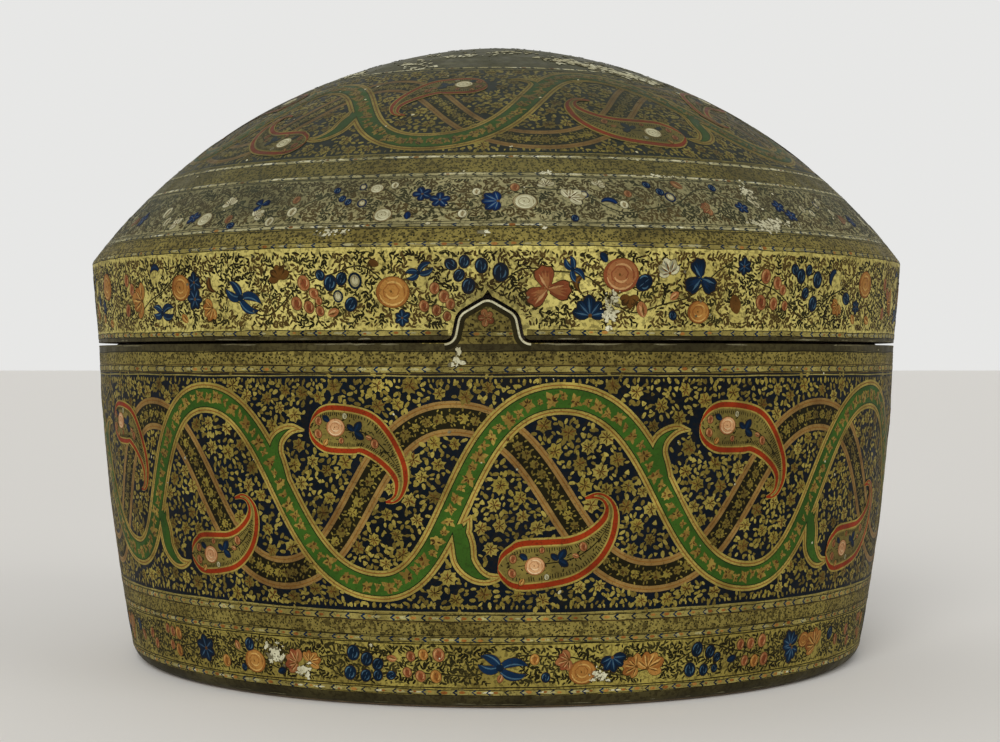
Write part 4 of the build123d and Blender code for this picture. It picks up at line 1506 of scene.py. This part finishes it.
class Cover:
    # which small squares of the board are taken, with the real sizes of the surface there
    def __init__(self, surface, low, high, square=0.5):
        self.surface, self.low, self.square = surface, low, square
        self.shape = (int((high - low) / self.square) + 1, int(girth / self.square))
        self.taken = np.zeros(self.shape, bool)

    def patch(self, x, y, reach):
        scale = float(boardScale(self.surface, y))
        rows = np.arange(max(0, int((y - reach - self.low) / self.square)),
                         min(self.shape[0], int((y + reach - self.low) / self.square) + 1))
        wide = reach * scale
        columns = np.arange(int((x - wide) / self.square), int((x + wide) / self.square) + 1)
        dy = rows * self.square + self.low - y
        dx = (columns * self.square - x) / scale
        inside = dy[:, None] ** 2 + dx[None] ** 2 <= reach ** 2
        return np.ix_(rows, columns % self.shape[1]), inside

    def mark(self, x, y, reach):
        where, inside = self.patch(x, y, reach)
        self.taken[where] |= inside

    def free(self, x, y, reach):
        where, inside = self.patch(x, y, reach)
        return not np.any(self.taken[where] & inside)


def sprig(surface, cover, x, y, size):
    # one gold flower with dark veins, and bent leaves that stand round it
    turn = anyTurn()
    dab("florets", surface, x, y, size, turn, 0.035, f"rosette{pick(5)}",
        tone=pick(3), wide=rng.uniform(0.88, 1.12))
    cover.mark(x, y, size + 0.05)
    for i in range(8):
        dab("floret_veins", surface, x, y, size * rng.uniform(0.55, 1.0),
            turn + 0.785 * i + rng.uniform(-0.3, 0.3), 0.07, "blade", wide=0.62, tone=pick(2))
    dab("floret_veins", surface, x, y, size * 0.16, 0, 0.075, "fleck", tone=0)
    for i in range(7):
        angle = turn + 2 * math.pi * i / 7 + rng.uniform(-0.25, 0.25)
        long = rng.uniform(1.4, 2.1)
        near, middle = size + rng.uniform(-0.1, 0.4), size + 0.3 + long / 2
        ahead = np.array([math.cos(angle), math.sin(angle)])
        spot = beside(surface, x, y, *ahead * middle)
        if cover.free(*spot, 0.55) and chance(0.92):
            start = beside(surface, x, y, *ahead * near)
            dab("floret_leaves", surface, *start, long, angle - math.pi / 2 + rng.uniform(-0.6, 0.6), 0.03,
                rng.choice(("sproutLeft", "sproutRight")), wide=rng.uniform(0.8, 1.15), tone=pick(3))
            cover.mark(*spot, 0.5)
            if i % 3 == 0:
                stem = around(surface, x, y, [ahead * (size - 0.3), ahead * (near + 0.3)])
                stroke("floret_stems", surface, stem, 0.36, 0.02, tone=1)


def makeField(surface):
    limits = field[surface]
    low, high = limits["low"], limits["high"]
    cover = Cover(surface, low - 6, high + 6)
    for x, y, half in np.vstack([path[:, :3] for path in kept[surface]]):
        if low - 5 < y < high + 5:
            cover.mark(x, y, half)
    # the flowers keep apart from each other, and may run a little under the ribbon and the botehs
    apart = Cover(surface, low - 6, high + 6)
    for _ in range(limits["flowers"]):
        x, y, size = rng.uniform(0, girth), rng.uniform(low + 2.2, high - 2.2), rng.uniform(1.9, 2.6)
        if apart.free(x, y, size + 0.4) and cover.free(x, y, 1.3):
            apart.mark(x, y, size + 0.4)
            sprig(surface, cover, x, y, size)
    # loose leaves and small three-lobed buds fill what is left between them
    for i in range(limits["leaves"]):
        x, y = rng.uniform(0, girth), rng.uniform(low + 0.9, high - 0.9)
        reach = 0.8 if i < limits["leaves"] / 2 else 0.6
        if not cover.free(x, y, reach):
            continue
        cover.mark(x, y, reach - 0.05)
        turn = rng.uniform(0, 2 * math.pi)
        tone = pick(3)
        if chance(0.4):
            dab("floret_leaves", surface, x, y, reach * 1.15, turn, 0.028, "trefoil", tone=tone)
            continue
        long = reach * rng.uniform(2.2, 2.9)
        start = beside(surface, x, y, math.sin(turn) * long / 2, -math.cos(turn) * long / 2)
        dab("floret_leaves", surface, *start, long, turn, 0.028,
            rng.choice(("sproutLeft", "sproutRight")), wide=rng.uniform(0.75, 1.05), tone=tone)
    # a row of short dashes along both edges of the field
    for y, way in ((high - 0.4, math.pi), (low + 0.4, 0.0)):
        count = int(2 * math.pi * localRadius(surface, y) / 1.9)
        for i in range(count):
            x = (i + rng.uniform(-0.2, 0.2)) * girth / count
            dab("edge_dashes", surface, x, y, rng.uniform(1.0, 1.8), way + rng.uniform(-0.3, 0.3), 0.03,
                "sprout", wide=0.75, tone=pick(3))


for name in ("wall", "lid"):
    makeBand(name)
    makeRibbon(name)
    makeBotehs(name)
    makeField(name)
print("friezes drawn")

floralBand("foot", "wall", 7.0, 18.6, (4600, 18000), (0, 1, 1), footFlowers, lambda x, z: (x, z))
floralBand("rim", "lid", rimAt(106.2), rimAt(127.9), (7000, 22000), (0, 1, 2, 2), rimFlowers,
           lambda x, z: (x, rimAt(z)))
floralBand("dome", "lid", 8.4, 25.6, (5400, 14000), (1, 2, 2), domeFlowers,
           lambda azimuth, run: (degrees(azimuth), run))
# surface, lower and upper edge, size of the cells and of the specks
for specks in (("wall", 21.4, 24.9, 0.95, 0.30), ("wall", 96.7, 99.9, 1.0, 0.34),
               ("lid", 28.2, 33.9, 1.05, 0.34), ("lid", 1.2, 5.6, 1.1, 0.36)):
    speckBand(*specks)
print("bands painted")


# Losses and worn edges, where the cream gesso shows
def loss(surface, x, y, size, wide, turn, tone, lift=0.17):
    shape = f"chip{pick(5)}" if size > 0.42 else "fleck"
    if chance(0.5):
        dab("loss_edges", surface, x, y, size + rng.uniform(0.05, 0.16), turn, lift - 0.015, shape,
            wide=wide, crest=0.005)
    dab("losses", surface, x, y, size, turn, lift, shape, wide=wide, tone=tone, crest=0.006)


def lossPatch(surface, x, y, wide, tall, count, size):
    # a ragged patch made of many small chips
    for _ in range(count):
        place = beside(surface, x, y, *rng.normal(0, 0.36, 2) * (wide, tall))
        loss(surface, *place, size * rng.uniform(0.3, 1.2), rng.uniform(0.5, 2.6),
             rng.uniform(-0.5, 0.5) if chance(0.6) else anyTurn(), int(chance(0.25)))


def wornEdge(surface, y, width, share, longest, tone=0, fromX=0.0, toX=girth):
    # broken pale lines where an edge has rubbed through
    x = fromX
    while x < toX - 2:
        long = rng.uniform(1.5, longest)
        if chance(share):
            end = min(x + long, toX)
            count = max(4, int((end - x) / 1.6))
            xs = np.linspace(x, end, count)
            waver, half = rng.normal(0, 0.06, count), width / 2 * rng.uniform(0.5, 1.25, count)
            stroke("worn_edges", surface, np.stack([xs, y + waver, half], 1), width, 0.06, (0.25, 0.25),
                   tone=tone, crest=0.01)
        x += long * rng.uniform(0.9, 1.3)


# Ragged losses: surface, place, width and height, how many chips and their size
patches = [
    ("lid", 30.9, rimAt(112.6), 2.6, 6.6, 60, 0.6), ("wall", -70.0, 13.6, 5.0, 3.6, 44, 0.7),
    ("wall", -60.4, 9.4, 3.4, 2.6, 26, 0.6), ("wall", 30.4, 9.8, 3.4, 2.4, 26, 0.55),
    ("lid", degrees(37.2), 22.5, 4.4, 6.5, 54, 0.62), ("lid", degrees(37.5), 9.6, 11.0, 3.4, 90, 0.62),
    ("lid", degrees(-20.0), 4.6, 7.0, 1.8, 34, 0.5), ("lid", degrees(-1.5), 4.0, 1.6, 1.2, 4, 0.8),
    ("lid", degrees(24.0), 27.4, 10.0, 0.8, 26, 0.45), ("lid", degrees(7.0), 27.6, 5.0, 1.0, 8, 0.6),
]
# The long bare streak on the right of the crown: azimuth, run, width and height
crownStreak = [(24, 108, 9, 5), (28, 104, 11, 5), (33, 101, 10, 4.5), (38, 97, 10, 4), (43, 94, 9, 4),
               (48, 90, 8, 3.5), (56, 80, 7, 2.5), (60, 76, 5, 2)]
crownPatches = [(-30, 104), (-12, 112), (2, 118), (14, 120), (60, 105), (95, 110), (150, 100), (210, 112),
                (265, 104), (310, 98), (-52, 99), (-22, 98)]
# Rubbed edges: surface, place, width, the share that is bare, the longest stretch and its tone
rubbedEdges = [
    ("lid", 0.0, 0.5, 0.35, 12, 1), ("lid", 35.2, 0.6, 0.5, 12), ("lid", 27.3, 0.55, 0.45, 10),
    ("lid", 6.9, 0.5, 0.3, 8), ("lid", 95.0, 0.8, 0.5, 14), ("wall", 5.1, 0.5, 0.15, 5),
    ("wall", form["footWear"] + 0.8, 0.45, 0.3, 10, 1),
]


def makeWear():
    for patch in patches:
        lossPatch(*patch)
    for a, s, wide, tall in crownStreak:
        lossPatch("lid", degrees(a), s, wide, tall, 44, 0.95)
    for a, s in crownPatches:
        lossPatch("lid", degrees(a), s, 10, 5, 26, 0.8)
    for _ in range(46):
        a, s = rng.uniform(0, 360), crownRun - 54 * math.sqrt(rng.random())
        lossPatch("lid", degrees(a), s, rng.uniform(2, 7), rng.uniform(1, 3), int(rng.integers(4, 11)),
                  rng.uniform(0.3, 0.7))
    for _ in range(170):
        s = crownRun - 56 * math.sqrt(rng.random())
        loss("lid", rng.uniform(0, girth), s, 0.25 + 0.7 * rng.random() ** 3, rng.uniform(0.4, 2.2),
             anyTurn(), int(chance(0.6)))
    for _ in range(260):
        loss("lid", rng.uniform(0, girth), rng.uniform(1, 94), rng.uniform(0.2, 0.6), rng.uniform(0.6, 1.6),
             anyTurn(), int(chance(0.5)))
    for _ in range(170):
        y = rng.uniform(5, 101)
        loss("wall", rng.uniform(0, girth), y, rng.uniform(0.18, 0.5), rng.uniform(0.6, 1.6),
             anyTurn(), int(chance(0.5)))
    for _ in range(90):
        x, z = rng.uniform(0, girth), rng.uniform(104, 128)
        if not inNotch(x, z):
            loss("lid", x, rimAt(z), rng.uniform(0.2, 0.5), rng.uniform(0.6, 1.6), anyTurn(), 1)
    # both edges of the saw cut, up to the tab
    right, left = tab["offset"] + 14, tab["offset"] - 14 + girth
    wornEdge("wall", seamZ - 0.3, 0.45, 0.75, 20, 1, right, left)
    wornEdge("lid", rimAt(rimZ + 0.3), 0.4, 0.35, 14, 1, right, left)
    for edge in rubbedEdges:
        wornEdge(*edge)


makeWear()


# The tab: a pale rubbed edge, a dark line inside it, a red flower and a short chevron line
def makeTab():
    edge = np.array([(p.x, p.y) for p in tabOutline() if abs(p.x) < 13])
    inner = []
    for i in range(len(edge)):
        ahead = edge[min(i + 1, len(edge) - 1)] - edge[max(i - 1, 0)]
        inner.append(np.array([ahead[1], -ahead[0]]) / max(np.linalg.norm(ahead), 1e-6))
    scale = form["boardRadius"] / form["seamRadius"]
    for piece, inset, width, lift, tone in (("line_hairs", 1.2, 1.5, 0.03, 1),
                                            ("worn_edges", 0.36, 0.55, 0.06, 0)):
        path = edge + np.array(inner) * inset
        path = np.stack([(path[:, 0] + tab["offset"]) * scale, path[:, 1] + seamZ], 1)
        stroke(piece, "wall", path, width, lift, tone=tone)
    x0 = tab["offset"] * scale
    chevronLine("wall", seamZ + 2.5, 1.0, 0.2, x0 - 6.8, x0 + 6.8)
    flower("blossom", "wall", x0 - 0.4, seamZ + 6.9, 4.6, 0.4, "pink")
    for _ in range(46):
        x, z = x0 + rng.uniform(-6.4, 6.4), seamZ + rng.uniform(0.0, 9.6)
        half = np.interp(z - seamZ, (0, tab["shoulderHeight"], tab["height"]), (7.4, 5.9, 0))
        if abs(x - x0) < half - 1.2:
            dab("specks", "wall", x, z, rng.uniform(0.25, 0.5), anyTurn(), 0.03, "speck", tone=pick(2))
    lossPatch("wall", x0 - 8.0, seamZ - 2.0, 2.0, 1.4, 5, 0.7)
    lossPatch("wall", x0 - 8.2, seamZ - 5.6, 2.6, 1.6, 8, 0.7)


makeTab()
makeBrushwork()
print("brushwork laid")


# Plain parts that the CAD frame makes: pulp, linings and collar
def pulpMaterial():
    mix = Mix("old_paper_pulp")
    layers = mix.add("ShaderNodeMapping")
    layers.inputs["Scale"].default_value = (1.0, 1.0, 9.0)
    mix.link(mix.place, layers.inputs["Vector"])
    ply = mix.between(mix.noise(220, 5, 0.6, layers.outputs[0]), 0.35, 0.65)
    base = mix.blend(ply, colour(104, 84, 58), colour(142, 120, 86))
    spots = mix.times(mix.between(mix.noise(900, 3), 0.58, 0.68), 0.6)
    mix.feed(Base_Color=mix.blend(spots, base, colour(58, 44, 28)),
             Roughness=mix.between(mix.noise(400), 0.3, 0.7, 0.8, 0.95))
    mix.bump(mix.noise(900, 6, 0.65, layers.outputs[0]), 0.5, 0.25)
    return mix.material


def liningMaterial(name, light, dark, rough):
    # lacquered paper: long soft wrinkles, laid fibres and rubbed places
    mix = Mix(name)
    tone = mix.between(mix.noise(24, 6, 0.65), 0.38, 0.64)
    base = mix.blend(tone, dark, light)
    fibre = mix.times(mix.between(mix.noise(1100, 2), 0.56, 0.66), 0.35)
    base = mix.blend(fibre, base, colour(120, 92, 58))
    rub = mix.times(mix.between(mix.noise(60, 8, 0.75), 0.6, 0.7), 0.45)
    mix.feed(Base_Color=mix.blend(rub, base, colour(132, 104, 66)), Coat_Weight=0.2, Coat_Roughness=0.4,
             Roughness=mix.between(mix.noise(140, 4), 0.3, 0.7, *rough))
    mix.bump(mix.noise(130, 6, 0.6), 0.45, 0.5)
    return mix.material


def dress(node, material):
    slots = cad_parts[node].material_slots
    if not slots:
        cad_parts[node].data.materials.append(material)
    for slot in slots:
        slot.material = material


pulp = pulpMaterial()
redLining = liningMaterial("red_lacquered_paper", colour(112, 34, 24), colour(72, 22, 18), (0.4, 0.65))
darkBoard = liningMaterial("dark_lacquered_board", colour(58, 40, 26), colour(34, 24, 18), (0.45, 0.7))
for node, material in (("box_shell", pulp), ("lid_shell", pulp), ("wall_lining", redLining),
                       ("floor_lining", redLining), ("lid_lining", redLining), ("inner_collar", darkBoard)):
    dress(node, material)


# Floor and light
studio = {
    "floor": colour(228, 225, 219),
    "backdrop": (0.80, 0.80, 0.79, 1),
    "ambient": 0.29,
    "key": {"place": (-0.25, -1.6, 0.95), "angle": 34, "strength": 2.5},
    "fill": {"place": (1.5, -0.9, 0.9), "angle": 36, "strength": 0.42},
    "top": {"place": (-0.3, 0.6, 1.7), "angle": 44, "strength": 0.3},
}


def makeStudio():
    bm = bmesh.new()
    bmesh.ops.create_grid(bm, x_segments=8, y_segments=8, size=15.0)
    floor = newObject("floor", meshOf(bm, "floor"))
    mix = Mix("pale_floor")
    mix.feed(Base_Color=studio["floor"], Roughness=0.85)
    floor.data.materials.append(mix.material)

    world = bpy.data.worlds.new("studio")
    world.use_nodes = True
    bpy.context.scene.world = world
    nodes, links = world.node_tree.nodes, world.node_tree.links
    soft = nodes["Background"]
    soft.inputs["Color"].default_value = (1, 1, 1, 1)
    soft.inputs["Strength"].default_value = studio["ambient"]
    seen = nodes.new("ShaderNodeBackground")
    seen.inputs["Color"].default_value = studio["backdrop"]
    path = nodes.new("ShaderNodeLightPath")
    mixer = nodes.new("ShaderNodeMixShader")
    seenBy = path.outputs["Is Camera Ray"]
    for ray in ("Is Glossy Ray", "Is Transmission Ray"):
        either = nodes.new("ShaderNodeMath")
        either.operation = "MAXIMUM"
        links.new(seenBy, either.inputs[0])
        links.new(path.outputs[ray], either.inputs[1])
        seenBy = either.outputs[0]
    links.new(seenBy, mixer.inputs[0])
    links.new(soft.outputs[0], mixer.inputs[1])
    links.new(seen.outputs[0], mixer.inputs[2])
    links.new(mixer.outputs[0], nodes["World Output"].inputs["Surface"])

    for name in ("key", "fill", "top"):
        lamp = studio[name]
        data = bpy.data.lights.new(name, "SUN")
        data.angle = math.radians(lamp["angle"])
        data.energy = lamp["strength"]
        light = newObject(name, data)
        light.location = lamp["place"]
        aim = Vector((0, 0, 0.1)) - light.location
        light.rotation_euler = aim.to_track_quat("-Z", "Y").to_euler()


makeStudio()
print("studio lit")
